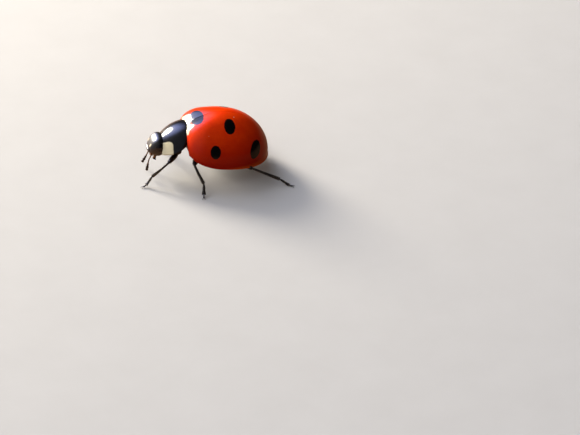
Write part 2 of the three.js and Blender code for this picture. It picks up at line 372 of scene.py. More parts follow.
def new_material(name, **settings):
    """A material with one Principled shader, its plain numbers set on the shader's own sockets."""
    material = bpy.data.materials.new(name)
    material.use_nodes = True
    tree = material.node_tree
    shader = tree.nodes["Principled BSDF"]
    for key, value in settings.items():
        shader.inputs[key.replace("_", " ")].default_value = value
    position = tree.nodes.new("ShaderNodeTexCoord").outputs["Object"]
    return material, tree, shader, position


def add_bump(tree, shader, height, strength, depth_mm):
    inputs = {"Height": height, "Strength": strength, "Distance": depth_mm * MM}
    bump = add_node(tree, "ShaderNodeBump", {}, inputs)
    tree.links.new(bump.outputs["Normal"], shader.inputs["Normal"])


def to_shader(tree, value, shader, socket):
    tree.links.new(value, shader.inputs[socket])


def clouded(tree, position, colours, clouds_per_mm, contrast=0.2):
    """A colour that drifts between two close ones."""
    return place_group(tree, cloudy, Position=position, Colour_A=colours[0], Colour_B=colours[1],
                       Clouds_per_mm=clouds_per_mm, Contrast=contrast)["Colour"]


def pitted(tree, position, pits_per_mm, pit_size, waviness):
    return place_group(tree, pitted_shell, Position=position, Pits_per_mm=pits_per_mm, Pit_Size=pit_size,
                       Waviness=waviness)


def dusted(tree, shader, position, colour, specks_per_mm, kept, cover):
    """Gives the shader a colour with dust on it, and returns the mask of the specks."""
    specks = place_group(tree, dust, Position=position, Specks_per_mm=specks_per_mm, Share_Kept=kept)["Mask"]
    covered = math_node(tree, "MULTIPLY", specks, cover)
    to_shader(tree, mix_colour(tree, covered, colour, DUST_COLOUR), shader, "Base Color")
    return specks


# %% [markdown]
# ## The domed back
#
# Both wing cases are halves of one dome. Seen from above the dome is a blunt oval, and seen from the side
# it rises fast behind the shield and falls slowly to the tail. Two superellipse quarters, one in front of
# the widest place and one behind it, give that outline in a handful of numbers.

# %% The dome's formula
ELYTRA = {"length": 5.3, "half_width": 2.51, "height": 2.66, "widest": 0.39, "bulge": 0.06, "shoulder": 2.82,
          "rim_rise": 0.48}
WIDEST_X = ELYTRA["length"] * (0.5 - ELYTRA["widest"])
FRONT_REACH = (ELYTRA["widest"] + ELYTRA["bulge"]) * ELYTRA["length"]
REAR_REACH = (1 - ELYTRA["widest"]) * ELYTRA["length"]
# A power and a root for the front quarter, then for the rear one: seen from above, and seen from the
# side.
PLAN_POWERS = ((2.8, 0.229), (2.46, 0.5))
PROFILE_POWERS = ((2.0, 0.247), (1.98, 0.5))


def fall_off(ahead, away, front, rear):
    front_power, front_root = front
    rear_power, rear_root = rear
    front_fall = np.maximum(0, 1 - away**front_power) ** front_root
    return np.where(ahead, front_fall, np.maximum(0, 1 - away**rear_power) ** rear_root)


def back_point(v, angle, inset=0.0, belly=0.0, stretch=1.0):
    """A point of the dome. v runs from its front pole to its rear one, and angle is 0 underneath."""
    v, angle = np.broadcast_arrays(np.asarray(v, float), np.asarray(angle, float))
    ahead = v < 0.5
    away = np.abs(np.cos(np.pi * v))
    plan = fall_off(ahead, away, *PLAN_POWERS)
    profile = fall_off(ahead, away, *PROFILE_POWERS)
    reach = np.where(ahead, away * (FRONT_REACH - inset) * stretch, -away * (REAR_REACH - inset))
    forward = np.where(ahead, away * FRONT_REACH / (ELYTRA["widest"] * ELYTRA["length"]), 0)
    sideways = 1 - np.arccos(np.minimum(1, np.abs(np.sin(angle)))) / (np.pi / 2)
    rise = ELYTRA["rim_rise"] * forward**2 * (1 - plan * (1 - sideways))
    up = -np.cos(angle)
    height = np.where(up > 0, (ELYTRA["height"] - inset) * profile, (belly - inset) * plan)
    half_width = (ELYTRA["half_width"] - inset) * plan
    return np.stack([WIDEST_X + reach, half_width * np.sin(angle), rise + up * height], -1)


def v_at(x):
    """The share v at which the dome's rings stand at x."""
    reach = x - WIDEST_X
    away = reach / FRONT_REACH if reach > 0 else reach / REAR_REACH
    return math.acos(away) / math.pi


def on_back(x, y):
    """The point of the dome straight above x and y, in the body's frame."""
    v = v_at(x)
    half_width = back_point(v, np.pi / 2)[1]
    return back_point(v, np.pi - math.asin(y / half_width))


print("crown of the back, mm above the rim:", round(float(back_point(0.5, np.pi)[2]), 2))

# %% [markdown]
# ## Wing cases
#
# Each wing case is a thin horny shell. Its inner edge meets its twin in a straight seam, with the
# slightest dip along it. Its outer edge runs through a shallow groove into a narrow lip, then turns under
# as a flat ledge. The grid follows that section column by column: across the dome, over the lip and in
# along the ledge. In front the shell turns down and in, and its outer corner is cut back so that it ends
# round. Solidify then gives the shell a real thickness, which shows where it ends behind the shield.

# %% Wing case shape
SEAM_GAP = 0.002
SEAM_DIP = 0.008
SEAM_DIP_WIDTH = 0.03
SHOULDER_BUMP = {"x": 1.9, "y": 1.62, "spread": 0.42, "height": 0.035, "push": 0.7}
MARGIN_GROOVE = {"depth": 0.03, "spread": 0.035}
BASE_DIP = {"depth": 0.2, "half_width": 0.8, "start": 0.3, "end": 2.6}
# The rim's section: (outwards, upwards) from where the dome ends.
RIM_SECTION = [(0.018, -0.006), (0.034, -0.02), (0.042, -0.04), (0.036, -0.06), (0.015, -0.073),
               (-0.03, -0.076), (-0.1, -0.07), (-0.2, -0.062), (-0.3, -0.06), (-0.38, -0.05), (-0.42, -0.02)]
# The front edge turns down: (forwards, inwards) from where the dome is cut off.
FRONT_SECTION = [(0.0, 0.34), (0.03, 0.2), (0.045, 0.1), (0.04, 0.04), (0.025, 0.01)]
# The front edge turns inwards to a line this far above the rim, and fades out between these heights.
FRONT_WALL = {"towards": 0.2, "none": 0.55, "full": 1.1}
LIP_FADE = {"none": 2.7, "full": 2.3, "least": 0.1}
CORNER_CUT = {"depth": 0.07, "power": 10}
WING_CASE_ROWS = 220
WING_CASE_COLUMNS = 120
# Shares of even columns and of columns that crowd towards the seam and the rim.
COLUMN_SPREAD = {"even": 0.55, "crowded": 0.45}
SHELL_THICKNESS = 0.05


def base_dip(x, y):
    """How far the wing cases sink towards the shield around the scutellum."""
    return BASE_DIP["depth"] * smooth_step(BASE_DIP["start"], BASE_DIP["end"], x) * np.exp(
        -((y / BASE_DIP["half_width"]) ** 2))


def front_wall(edge):
    """Rows that turn the front edge of a wing case down and in, before the row that it starts from."""
    inward = np.array([0.0, 0.0, FRONT_WALL["towards"]]) - edge * [0, 1, 1]
    inward /= np.linalg.norm(inward, axis=1, keepdims=True)
    height = smooth_step(FRONT_WALL["none"], FRONT_WALL["full"], edge[:, 2])[:, None]
    return np.array([edge + height * ([ahead, 0, 0] + inward * depth) for ahead, depth in FRONT_SECTION])


def wing_case_grid(side):
    across = np.linspace(0, 1, WING_CASE_COLUMNS)[None, :]
    crowded = 0.5 - 0.5 * np.cos(np.pi * across)
    across = COLUMN_SPREAD["even"] * across + COLUMN_SPREAD["crowded"] * crowded
    front_x = ELYTRA["shoulder"] - CORNER_CUT["depth"] * across[0] ** CORNER_CUT["power"]
    first = np.array([[v_at(x) for x in front_x]])
    v = first + (1 - first) * np.linspace(0, 1, WING_CASE_ROWS)[:, None]
    points = back_point(v, np.pi - across * np.pi / 2)
    ahead, out = points[..., 0] - SHOULDER_BUMP["x"], points[..., 1] - SHOULDER_BUMP["y"]
    bump = SHOULDER_BUMP["height"] * np.exp(-(ahead**2 + out**2) / SHOULDER_BUMP["spread"] ** 2)
    groove = MARGIN_GROOVE["depth"] * np.exp(-(((1 - across) / MARGIN_GROOVE["spread"]) ** 2))
    groove = groove * np.sin(np.pi * np.clip(v, 0, 1)) ** 0.5
    dip = SEAM_DIP * np.exp(-((points[..., 1] / SEAM_DIP_WIDTH) ** 2))
    points[..., 2] += SHOULDER_BUMP["push"] * bump - dip
    points[..., 1] += SHOULDER_BUMP["push"] * bump - groove
    points[..., 2] -= base_dip(points[..., 0], points[..., 1])
    rim = back_point(v[:, -1], np.pi / 2)
    along = np.gradient(rim[:, :2], axis=0)
    along /= np.linalg.norm(along, axis=1, keepdims=True)
    outwards = np.stack([along[:, 1], -along[:, 0]], -1)
    outwards *= np.sign(outwards[:, 1:2] + 1e-9)
    outwards[-1] = (-1, 0)
    lip = np.repeat(rim[:, None, :], len(RIM_SECTION), axis=1)
    shown = smooth_step(LIP_FADE["none"], LIP_FADE["full"], rim[:, 0])
    fade = LIP_FADE["least"] + (1 - LIP_FADE["least"]) * shown
    section = fade[:, None, None] * np.array(RIM_SECTION)[None]
    lip[..., :2] += outwards[:, None, :] * section[..., 0:1]
    lip[..., 2] += section[..., 1]
    points = np.concatenate([front_wall(points[0]), points])
    lip = np.concatenate([np.repeat(lip[:1], len(FRONT_SECTION), axis=0), lip])
    whole = np.concatenate([points, lip], axis=1)
    whole[..., 1] = np.maximum(whole[..., 1], SEAM_GAP) * side
    return whole


print("lip stands out by", max(out for out, up in RIM_SECTION), "mm")

# %% [markdown]
# ### Spots
#
# Three black spots lie on each wing case and a seventh straddles the seam behind the shield, where a
# small cream triangle flanks it on either side. Each marking is given by where its centre sits, looking
# down on the back, and by how far it reaches along and across the body. The surface itself says how that
# ellipse is tilted: two nearby points of the dome give the tangents, and their cross product gives the
# way out of the shell.

# %% Spots as turned ellipses
SPOTS = {
    "front": {"at": (1.20, 2.31), "size": (0.33, 0.43)},
    "middle": {"at": (0.28, 1.22), "size": (0.36, 0.56)},
    "rear": {"at": (-1.45, 1.80), "size": (0.4, 0.62), "turn": 24},
}
SHARED_SPOT = {"at": (2.15, 0.0), "size": (0.45, 0.84)}
CREAM_TRIANGLE = {"at": (2.84, 0.45), "size": (0.48, 0.66)}
SPOT_DEPTH = 0.9
DIAMOND_SQUARENESS = 1.2
BOX_SQUARENESS = 4.0
STEP = 0.02


def marking_on_back(at, size, side=1, turn=0):
    """Centre, turn and size of an ellipse that lies on the back, ready for the marking group. turn spins
    it, in degrees, as seen from outside."""
    x, y = at
    centre = on_back(x, y)
    centre[2] -= base_dip(x, y)
    along = on_back(x + STEP, y) - on_back(x, y)
    across = on_back(x, y - STEP) - on_back(x, y)
    along /= np.linalg.norm(along)
    outwards = np.cross(along, -across)
    outwards /= np.linalg.norm(outwards)
    left = np.cross(outwards, along)
    spin = math.radians(turn)
    turned_along = along * math.cos(spin) + left * math.sin(spin)
    turned_left = left * math.cos(spin) - along * math.sin(spin)
    axes = np.stack([turned_along, turned_left, outwards], -1)
    if side < 0:
        axes = np.diag([1, -1, 1]) @ axes @ np.diag([1, -1, 1])
        centre = centre * [1, -1, 1]
    laid = BODY.to_3x3() @ Matrix(axes.tolist())
    return {"Centre": placed(centre, BODY).tolist(), "Turn": tuple(laid.to_euler("XYZ")),
            "Size": (size[0] * MM, size[1] * MM, SPOT_DEPTH * MM)}


def marking_on(tree, position, laid, softness=0.05, wobble=0.16, squareness=2.0):
    return place_group(tree, marking, Position=position, Softness=softness, Wobble=wobble,
                       Squareness=squareness, **laid)["Mask"]


for name, spot in SPOTS.items():
    laid = marking_on_back(**spot)
    print(name, "spot centre, mm:", [round(value / MM, 2) for value in laid["Centre"]])

# %% [markdown]
# ### Wing case finish
#
# The shell is red horn under a clear skin, so it gets a coloured base and a glossy coat. Painted light
# and shade are in its colour: by height above the floor it runs from a deep red, painted shade, on the
# flanks to a hot orange red, painted light, on the crown. The thin lip is painted orange, a painted glow
# as if light came through it, and the pits are painted a darker red as painted shade. The coat is only
# half as strong on the red as on the spots, which keeps the red deep, and dust dulls it. The coat's
# roughness is one number and stays on the shader's own socket.

# %% Red shell material
# Painted light and shade: a lit orange red for the crown and a shaded deep red for the flanks.
RED_LIT_CROWN = ((0.92, 0.05, 0.001, 1), (0.82, 0.034, 0.001, 1))
RED_SHADED_FLANK = (0.42, 0.009, 0.0005, 1)
# Painted shade: the darker red painted into the pits.
PIT_SHADE_RED = (0.25, 0.01, 0.002, 1)
# Painted light: the orange of light shining through the thin lip.
PAINTED_LIP_GLOW_ORANGE = (0.88, 0.13, 0.008, 1)
SPOT_BLACK = (0.004, 0.0035, 0.004, 1)
CREAM = (0.74, 0.66, 0.44, 1)
# Heights above the floor, in mm, over which the painted shade of the flank turns into the painted light of
# the crown, and over which the lip's painted orange glow fades.
PAINTED_LIGHT_RISE = (1.4, 3.5)
LIP_LIGHT = (1.05, 1.3)
LIP_GLOW = 0.55
# How strongly the pits are painted with shade.
PIT_SHADE_SHARE = 0.25
RED_COAT = 0.48
DUSTY_COAT = 0.1
PIT_DEPTH = 0.006


def red_shell_material(name, side):
    material, tree, shader, position = new_material(
        name, Roughness=0.35, Coat_Weight=1.0, Coat_Roughness=0.07, Coat_IOR=1.36, Specular_IOR_Level=0.1)
    height = add_node(tree, "ShaderNodeSeparateXYZ", {}, {0: position}).outputs["Z"]
    # Painted light and shade: deep red low on the flanks, lit orange red high on the crown.
    painted_light_share = ramp_node(tree, height, *[value * MM for value in PAINTED_LIGHT_RISE])
    crown = clouded(tree, position, RED_LIT_CROWN, clouds_per_mm=1.3, contrast=0.16)
    colour = mix_colour(tree, painted_light_share, RED_SHADED_FLANK, crown)
    # Painted light: the lip low on the shell is painted orange, as if light shone through it.
    lip = ramp_node(tree, height, *[value * MM for value in LIP_LIGHT], LIP_GLOW, 0.0)
    colour = mix_colour(tree, lip, colour, PAINTED_LIP_GLOW_ORANGE)
    triangle = marking_on_back(**CREAM_TRIANGLE, side=side)
    cream = marking_on(tree, position, triangle, softness=0.08, wobble=0.2, squareness=DIAMOND_SQUARENESS)
    colour = mix_colour(tree, cream, colour, CREAM)
    black = marking_on(tree, position, marking_on_back(**SHARED_SPOT), wobble=0.2)
    for spot in SPOTS.values():
        mask = marking_on(tree, position, marking_on_back(**spot, side=side))
        black = math_node(tree, "MAXIMUM", black, mask)
    pits = pitted(tree, position, pits_per_mm=11.0, pit_size=0.34, waviness=0.5)
    # Painted shade: the pits are painted a darker red.
    colour = mix_colour(tree, math_node(tree, "MULTIPLY", pits["Pit Mask"], PIT_SHADE_SHARE), colour, PIT_SHADE_RED)
    colour = mix_colour(tree, black, colour, SPOT_BLACK)
    specks = dusted(tree, shader, position, colour, specks_per_mm=2.2, kept=0.07, cover=0.8)
    coat = ramp_node(tree, black, 0, 1, RED_COAT, 1.0)
    coat = math_node(tree, "MULTIPLY", coat, ramp_node(tree, specks, 0, 1, 1.0, DUSTY_COAT))
    to_shader(tree, coat, shader, "Coat Weight")
    to_shader(tree, ramp_node(tree, specks, 0, 1, 0.3, 0.8), shader, "Roughness")
    add_bump(tree, shader, pits["Height"], strength=0.35, depth_mm=PIT_DEPTH)
    return material


for side_name, side in SIDES.items():
    grid = placed(wing_case_grid(side), BODY)
    middle = placed([0, 0.3 * side, 0], BODY)
    mesh = mesh_from_grid(f"wing_case_{side_name}", grid, wrap=False, outward_from=middle)
    red = red_shell_material(f"red shell {side_name}", side)
    piece = add_piece(f"wing_case_{side_name}", mesh, red, [f"elytron_{side_name}"])
    settle(piece, ("SOLIDIFY", {"thickness": SHELL_THICKNESS * MM, "offset": -1.0}))

# %% [markdown]
# ## Black shell finish
#
# The shield, the head and the scutellum are the same horn without the red. Black gloss is nearly all
# reflection, so what counts is how the reflection breaks up: many small pits and a slight roll. A touch
# of blue in the base keeps it from looking like soot. The head's coat is stronger and rougher than the
# shield's, which spreads its highlight.

# %% Black shell material
SHELL_BLACK = ((0.0035, 0.0035, 0.005, 1), (0.009, 0.008, 0.012, 1))
CREAM_CLOUDS = (CREAM, (0.67, 0.58, 0.37, 1))


def black_shell_material(name, pits_per_mm=13.0, coat_roughness=0.12, coat_ior=1.45, bump=0.5,
                         cream_marks=()):
    material, tree, shader, position = new_material(
        name, Roughness=0.32, Coat_Weight=1.0, Coat_Roughness=coat_roughness, Coat_IOR=coat_ior,
        Specular_IOR_Level=0.1)
    colour = clouded(tree, position, SHELL_BLACK, clouds_per_mm=2.0)
    for laid in cream_marks:
        mask = marking_on(tree, position, laid, wobble=0.12, squareness=BOX_SQUARENESS)
        cream = clouded(tree, position, CREAM_CLOUDS, clouds_per_mm=3.0, contrast=0.15)
        colour = mix_colour(tree, mask, colour, cream)
    pits = pitted(tree, position, pits_per_mm=pits_per_mm, pit_size=0.36, waviness=0.6)
    dusted(tree, shader, position, colour, specks_per_mm=3.0, kept=0.05, cover=0.7)
    to_shader(tree, ramp_node(tree, pits["Pit Mask"], 0, 1, 0.3, 0.5), shader, "Roughness")
    add_bump(tree, shader, pits["Height"], strength=bump, depth_mm=PIT_DEPTH)
    return material


plain_black = black_shell_material("black shell")
print(plain_black.name, "nodes:", len(plain_black.node_tree.nodes))

# %% [markdown]
# ## Scutellum
#
# A small black triangle fills the notch where the two wing cases and the shield meet. It is the back of
# the middle thorax, showing through. A grid laid on the dome and lifted a hair's breadth keeps it flush
# with its neighbours.

# %% Scutellum
SCUTELLUM = {"base": 2.78, "tip": 2.3, "half_width": 0.2, "tip_half_width": 0.002, "taper": 1.6,
             "proud": 0.016, "thickness": 0.08, "bevel": 0.012}
SCUTELLUM_ROWS = 24
SCUTELLUM_COLUMNS = 21


def scutellum_grid():
    rows = []
    across = np.linspace(-1, 1, SCUTELLUM_COLUMNS)
    for share in np.linspace(0, 1, SCUTELLUM_ROWS):
        x = SCUTELLUM["base"] + (SCUTELLUM["tip"] - SCUTELLUM["base"]) * share
        half = SCUTELLUM["half_width"] * (1 - share ** SCUTELLUM["taper"]) + SCUTELLUM["tip_half_width"]
        row = [on_back(x, half * out) - [0, 0, base_dip(x, 0)] for out in across]
        crown = SCUTELLUM["proud"] * (1 - across**4)
        rows.append([point + [0, 0, lift] for point, lift in zip(row, crown)])
    return np.array(rows)


mesh = mesh_from_grid("scutellum_plate", placed(scutellum_grid(), BODY), False,
                      placed([SCUTELLUM["tip"], 0, 0], BODY))
plate = add_piece("scutellum_plate", mesh, plain_black, ["scutellum"])
settle(plate, ("SOLIDIFY", {"thickness": SCUTELLUM["thickness"] * MM, "offset": -1.0}),
       ("BEVEL", {"width": SCUTELLUM["bevel"] * MM, "segments": 3, "limit_method": "ANGLE"}))

# %% [markdown]
# ## The shield
#
# The pronotum is a broad plate that covers the neck like a saddle. It is bowed across, hangs low at its
# sides, and has forward-pointing corners that flank the head and carry the cream patches. Its grid has
# two layers, top and underside, that meet in a rounded rim. A Bevel modifier could round the rim too, but
# it leaves steps where the corners are tight.

# %% Shield shape
SHIELD = {"start": 0.15, "length": 1.87, "corner_advance": 0.66, "corner_round": 0.24, "front_notch": 0.44,
          "front_round": 0.1, "rear_half": 1.62, "front_half": 1.11, "side_bulge": 0.1, "rear_sag": 0.56,
          "front_sag": 0.52, "mid_sag": 0.26, "arch": 0.2, "thickness": 0.3, "edge": 0.09, "bead": 0.025,
          "bead_spread": 0.03}
# How suddenly each of these sets in: towards the shield's sides, or along it for the taper and the end rim.
SHIELD_POWERS = {"corner_advance": 2.2, "corner_round": 8, "front_notch": 5, "front_round": 16, "taper": 1.6,
                 "sag": 2.3, "thinning": 3, "side_rim": 70, "end_rim": 40}


def shield_grid(rows=110, columns=180):
    """The upper and lower surface as one closed loop of columns, for each row from the rear edge to the
    front. Rows and columns crowd towards the rim, where high powers round its edge."""
    s, powers = SHIELD, SHIELD_POWERS
    a = 0.5 - 0.5 * np.cos(np.linspace(0, np.pi, rows))[:, None]
    b = np.sin(np.linspace(-np.pi / 2, np.pi / 2, columns))[None, :]
    out, mid, end = np.abs(b), 4 * a * (1 - a), np.abs(2 * a - 1)
    advance = s["corner_advance"] * out ** powers["corner_advance"]
    rear = s["start"] + advance + s["corner_round"] * out ** powers["corner_round"]
    notch = s["front_notch"] * out ** powers["front_notch"]
    front = s["start"] + s["length"] + notch - s["front_round"] * out ** powers["front_round"]
    taper = (s["front_half"] - s["rear_half"]) * a ** powers["taper"]
    half = s["rear_half"] + taper + s["side_bulge"] * mid
    sag = s["rear_sag"] + (s["front_sag"] - s["rear_sag"]) * a + s["mid_sag"] * mid
    bead = s["bead"] * np.exp(-(((1 - out) / s["bead_spread"]) ** 2))
    x = rear + (front - rear) * a
    y = b * half
    top = s["arch"] * mid - sag * out ** powers["sag"] + bead
    thickness = s["edge"] + (s["thickness"] - s["edge"]) * (1 - np.maximum(out, end) ** powers["thinning"])
    rim = (1 - out ** powers["side_rim"]) * (1 - end ** powers["end_rim"])
    half_thick = thickness / 2 * np.sqrt(np.maximum(0, rim))
    middle = top - thickness / 2
    upper, lower = [np.stack([x + 0 * y, y + 0 * x, middle + sign * half_thick], -1) for sign in (1, -1)]
    return np.concatenate([upper, lower[:, ::-1]], axis=1)


CREAM_CORNER = {"at": (2.15, 1.25, -0.32), "size": (0.62, 0.64, 0.9), "lean": 38, "slant": 24}


def cream_corner(side):
    x, y, z = CREAM_CORNER["at"]
    lean = Matrix.Rotation(math.radians(-CREAM_CORNER["lean"] * side), 3, "X")
    lean = lean @ Matrix.Rotation(math.radians(-CREAM_CORNER["slant"] * side), 3, "Z")
    return {"Centre": placed([x, y * side, z], COLLAR).tolist(),
            "Turn": tuple((COLLAR.to_3x3() @ lean).to_euler("XYZ")),
            "Size": tuple(value * MM for value in CREAM_CORNER["size"])}


cream_corners = [cream_corner(side) for side in SIDES.values()]
shield_black = black_shell_material("shield shell", cream_marks=cream_corners)
shield_mesh = mesh_from_grid("shield", placed(shield_grid(), COLLAR), True)
add_piece("shield", shield_mesh, shield_black, ["pronotum"])

# %% [markdown]
# ## Head
#
# The head is broad and short, tucked under the shield, with the face turned down. The forehead is gently
# domed. Below it a shallow step marks the clypeus, the plate that carries the upper lip. The grid runs
# from the mouth to the neck. A small rise is added to it for the clypeus, a pit for each feeler's socket,
# and a faint hollow for the forehead.

# %% Head shape
HEAD = {"half_length": 0.7, "half_width": 0.78, "half_depth": 0.55, "fullness": 0.66, "throat_taper": 0.3}
# A power and a root for the front half, then for the rear one: seen from above, and seen from the side.
HEAD_PLAN_POWERS = ((2.4, 0.6), (3, 0.4))
HEAD_DEPTH_POWERS = ((3.4, 0.5), (2.6, 0.45))
CLYPEUS = {"start": 0.4, "half_width": 0.42, "rise": 0.035, "step": 0.03, "side_in": 0.02, "side_out": 0.06}
SOCKET = {"at": (0.36, 0.5), "spread": 0.08, "depth": 0.05}
FOREHEAD_HOLLOW = {"depth": 0.008, "x": 0.25, "along": 0.02, "across": 0.12}
THROAT_END = 0.65
FACE_START = 0.2


def blob_grid(around, along, place):
    """A ball's grid, with place(v, angle) giving each point. v runs from the front pole to the rear one."""
    v = np.linspace(0, 1, along)[:, None]
    angle = np.linspace(0, 2 * np.pi, around, endpoint=False)[None, :]
    return place(*np.broadcast_arrays(v, angle))


def squared(turn):
    """Fills out a ring, so that the face is flatter than a ball's."""
    return np.sign(turn) * np.abs(turn) ** HEAD["fullness"]


def head_point(v, angle):
    away = np.abs(np.cos(np.pi * v))
    front = v < 0.5
    plan = fall_off(front, away, *HEAD_PLAN_POWERS)
    depth = fall_off(front, away, *HEAD_DEPTH_POWERS)
    x = np.cos(np.pi * v) * HEAD["half_length"]
    y = HEAD["half_width"] * plan * squared(np.sin(angle))
    z = -HEAD["half_depth"] * depth * squared(np.cos(angle))
    z = z * np.where(z < 0, 1 - HEAD["throat_taper"] * smooth_step(0, THROAT_END, x), 1)
    face = smooth_step(0.0, FACE_START, z)
    clypeus = smooth_step(CLYPEUS["start"] - CLYPEUS["step"], CLYPEUS["start"] + CLYPEUS["step"], x)
    side_end = CLYPEUS["half_width"] + CLYPEUS["side_out"]
    side_start = CLYPEUS["half_width"] - CLYPEUS["side_in"]
    clypeus = clypeus * smooth_step(side_end, side_start, np.abs(y))
    socket_x, socket_y = SOCKET["at"]
    socket = np.exp(-((x - socket_x) ** 2 + (np.abs(y) - socket_y) ** 2) / SOCKET["spread"] ** 2)
    ahead = (x - FOREHEAD_HOLLOW["x"]) ** 2 / FOREHEAD_HOLLOW["along"]
    hollow = FOREHEAD_HOLLOW["depth"] * np.exp(-(ahead + y**2 / FOREHEAD_HOLLOW["across"]))
    z = z + face * (CLYPEUS["rise"] * clypeus - SOCKET["depth"] * socket - hollow)
    return np.stack([x, y, z], -1)


FACE_MARK = {"at": (0.1, 0.36, 0.42), "size": (0.11, 0.075, 0.4)}


def face_mark(side):
    x, y, z = FACE_MARK["at"]
    return {"Centre": placed([x, y * side, z], SKULL).tolist(), "Turn": tuple(SKULL.to_euler("XYZ")),
            "Size": tuple(value * MM for value in FACE_MARK["size"])}


face_marks = [face_mark(side) for side in SIDES.values()]
head_black = black_shell_material("head shell", pits_per_mm=15.0, coat_roughness=0.34, coat_ior=2.0,
                                  bump=0.9, cream_marks=face_marks)
head_grid = blob_grid(around=160, along=110, place=head_point)
head_mesh = mesh_from_grid("head_capsule", placed(head_grid, SKULL), True)
add_piece("head_capsule", head_mesh, head_black, ["head"])

# %% [markdown]
# ## Eyes
#
# A ladybird's eye is a black cushion of hundreds of lenses. Modelling each lens is possible, but at a
# thirtieth of a millimetre they only ever show as a fine sparkle, so the cushion is a true bulge and its
# lenses are bump.

# %% Eyes
EYE = {"centre": (-0.12, 0.6, 0.0), "radii": (0.36, 0.25, 0.36)}
EYE_BLACK = ((0.004, 0.003, 0.006, 1), (0.012, 0.008, 0.02, 1))
LENS_SEAM = (0.001, 0.001, 0.001, 1)
LENSES_PER_MM = 34


def eye_material():
    material, tree, shader, position = new_material(
        "eye lenses", Roughness=0.22, Coat_Weight=1.0, Coat_Roughness=0.06, IOR=1.5)
    lenses = cell_node(tree, position, LENSES_PER_MM / MM, 0.25)["Distance"]
    seams = ramp_node(tree, lenses, 0.3, 0.7)
    colour = mix_colour(tree, seams, clouded(tree, position, EYE_BLACK, clouds_per_mm=5.0), LENS_SEAM)
    to_shader(tree, colour, shader, "Base Color")
    add_bump(tree, shader, math_node(tree, "SUBTRACT", 1.0, lenses), strength=0.5, depth_mm=PIT_DEPTH)
    return material


def ellipsoid_grid(centre, radii, around=64, along=48):
    def place(v, angle):
        ring = np.sin(np.pi * v)
        unit = np.stack([np.cos(np.pi * v), ring * np.sin(angle), -ring * np.cos(angle)], -1)
        return unit * radii + centre

    return blob_grid(around, along, place)


lens_black = eye_material()
for side_name, side in SIDES.items():
    x, y, z = EYE["centre"]
    grid = placed(ellipsoid_grid((x, y * side, z), EYE["radii"]), SKULL)
    mesh = mesh_from_grid(f"eye_lenses_{side_name}", grid, True)
    add_piece(f"eye_lenses_{side_name}", mesh, lens_black, [f"eye_{side_name}"])

# %% [markdown]
# ## Mouthparts
#
# Between the face and the ground sit the upper lip, two jaws and the palps. A ladybird's palps end in a
# segment shaped like an axe head, which is the surest sign of the family. All are lofts: a path, with an
# oval section that widens and narrows along it. One helper makes them, and it makes the legs and the
# feelers too.

# %% Lofts along a path
UP = (0, 0, 1)
STEPS_PER_SPAN = 60


def smooth_path(points, count):
    """Evenly spread points on a smooth curve through the given ones, by Catmull-Rom."""
    knots = np.array(points, float)
    knots = np.vstack([2 * knots[0] - knots[1], knots, 2 * knots[-1] - knots[-2]])
    dense = []
    for i in range(1, len(knots) - 2):
        before, start, end, after = knots[i - 1:i + 3]
        bend = 2 * before - 5 * start + 4 * end - after
        twist = 3 * start - before - 3 * end + after
        for t in np.linspace(0, 1, STEPS_PER_SPAN, endpoint=False):
            dense.append(0.5 * (2 * start + (end - before) * t + bend * t**2 + twist * t**3))
    dense = np.vstack([dense, knots[-2]])
    length = np.concatenate([[0], np.cumsum(np.linalg.norm(np.diff(dense, axis=0), axis=1))])
    share = 0.5 - 0.5 * np.cos(np.pi * np.linspace(0, 1, count))
    share = 0.5 * share + 0.5 * np.linspace(0, 1, count)
    return np.stack([np.interp(share * length[-1], length, dense[:, i]) for i in range(3)], -1), share


def path_axes(path, upward):
    """Along, side and up directions at each point of a path."""
    along = np.gradient(path, axis=0)
    along /= np.linalg.norm(along, axis=1, keepdims=True)
    side = np.cross(np.asarray(upward, float), along)
    side /= np.linalg.norm(side, axis=1, keepdims=True)
    return along, side, np.cross(along, side)


def round_ends(share, cap):
    """One along the middle of a limb, falling to nothing over its rounded ends."""
    near = np.clip(np.minimum(share, 1 - share) / cap, 0, 1)
    return np.sqrt(np.maximum(0, 1 - (1 - near) ** 2))


def loft(points, wide, deep, upward, around=28, along=48, cap=0.08, bow=0.0):
    """A closed limb on a path. wide(share) and deep(share) are its half width and half depth in mm, and
    bow carries the sides of each ring forwards, which cuts a notch in the far end."""
    path, share = smooth_path(points, along)
    forward, side, up = path_axes(path, upward)
    ends = round_ends(share, cap)
    half_width, half_depth = wide(share) * ends, deep(share) * ends
    angle = np.linspace(0, 2 * np.pi, around, endpoint=False)
    across = np.sin(angle)[None, :, None] * side[:, None, :] * half_width[:, None, None]
    above = np.cos(angle)[None, :, None] * up[:, None, :] * half_depth[:, None, None]
    ahead = (bow * share**3)[:, None, None] * (np.sin(angle) ** 2)[None, :, None]
    ahead = ahead * forward[:, None, :] * np.minimum(1, ends)[:, None, None]
    return path[:, None, :] + across + above + ahead


def between(low, high, power=1.0):
    """A thickness that runs from low to high along a limb."""
    return lambda share: low + (high - low) * share**power


def tapered(thick, taper):
    """A thickness that loses the given share of itself along a limb."""
    return lambda share: thick * (1 - taper * share)


def joined_mesh(name, meshes):
    """Several meshes as one."""
    build = bmesh.new()
    for mesh in meshes:
        build.from_mesh(mesh)
        bpy.data.meshes.remove(mesh)
    whole = bpy.data.meshes.new(name)
    build.to_mesh(whole)
    build.free()
    return whole


def loft_mesh(name, place, *lofts):
    return joined_mesh(name, [mesh_from_grid(name, placed(grid, place), True) for grid in lofts])


print("path of three knots:", smooth_path([(0, 0, 0), (1, 0, 0), (2, 1, 0)], 5)[0].round(2).tolist())

# %% [markdown]
# ### Horn of the limbs
#
# Legs, palps and jaws are black to chestnut horn, less polished than the shell, and roughened by the
# roots of their hairs. One function gives all of them, with its own colours for the jaws and lip, which
# are thin enough to look brown.

# %% Limb material
BLACK_HORN = ((0.004, 0.0035, 0.004, 1), (0.012, 0.009, 0.008, 1))
AMBER_HORN = ((0.32, 0.12, 0.025, 1), (0.18, 0.05, 0.012, 1))


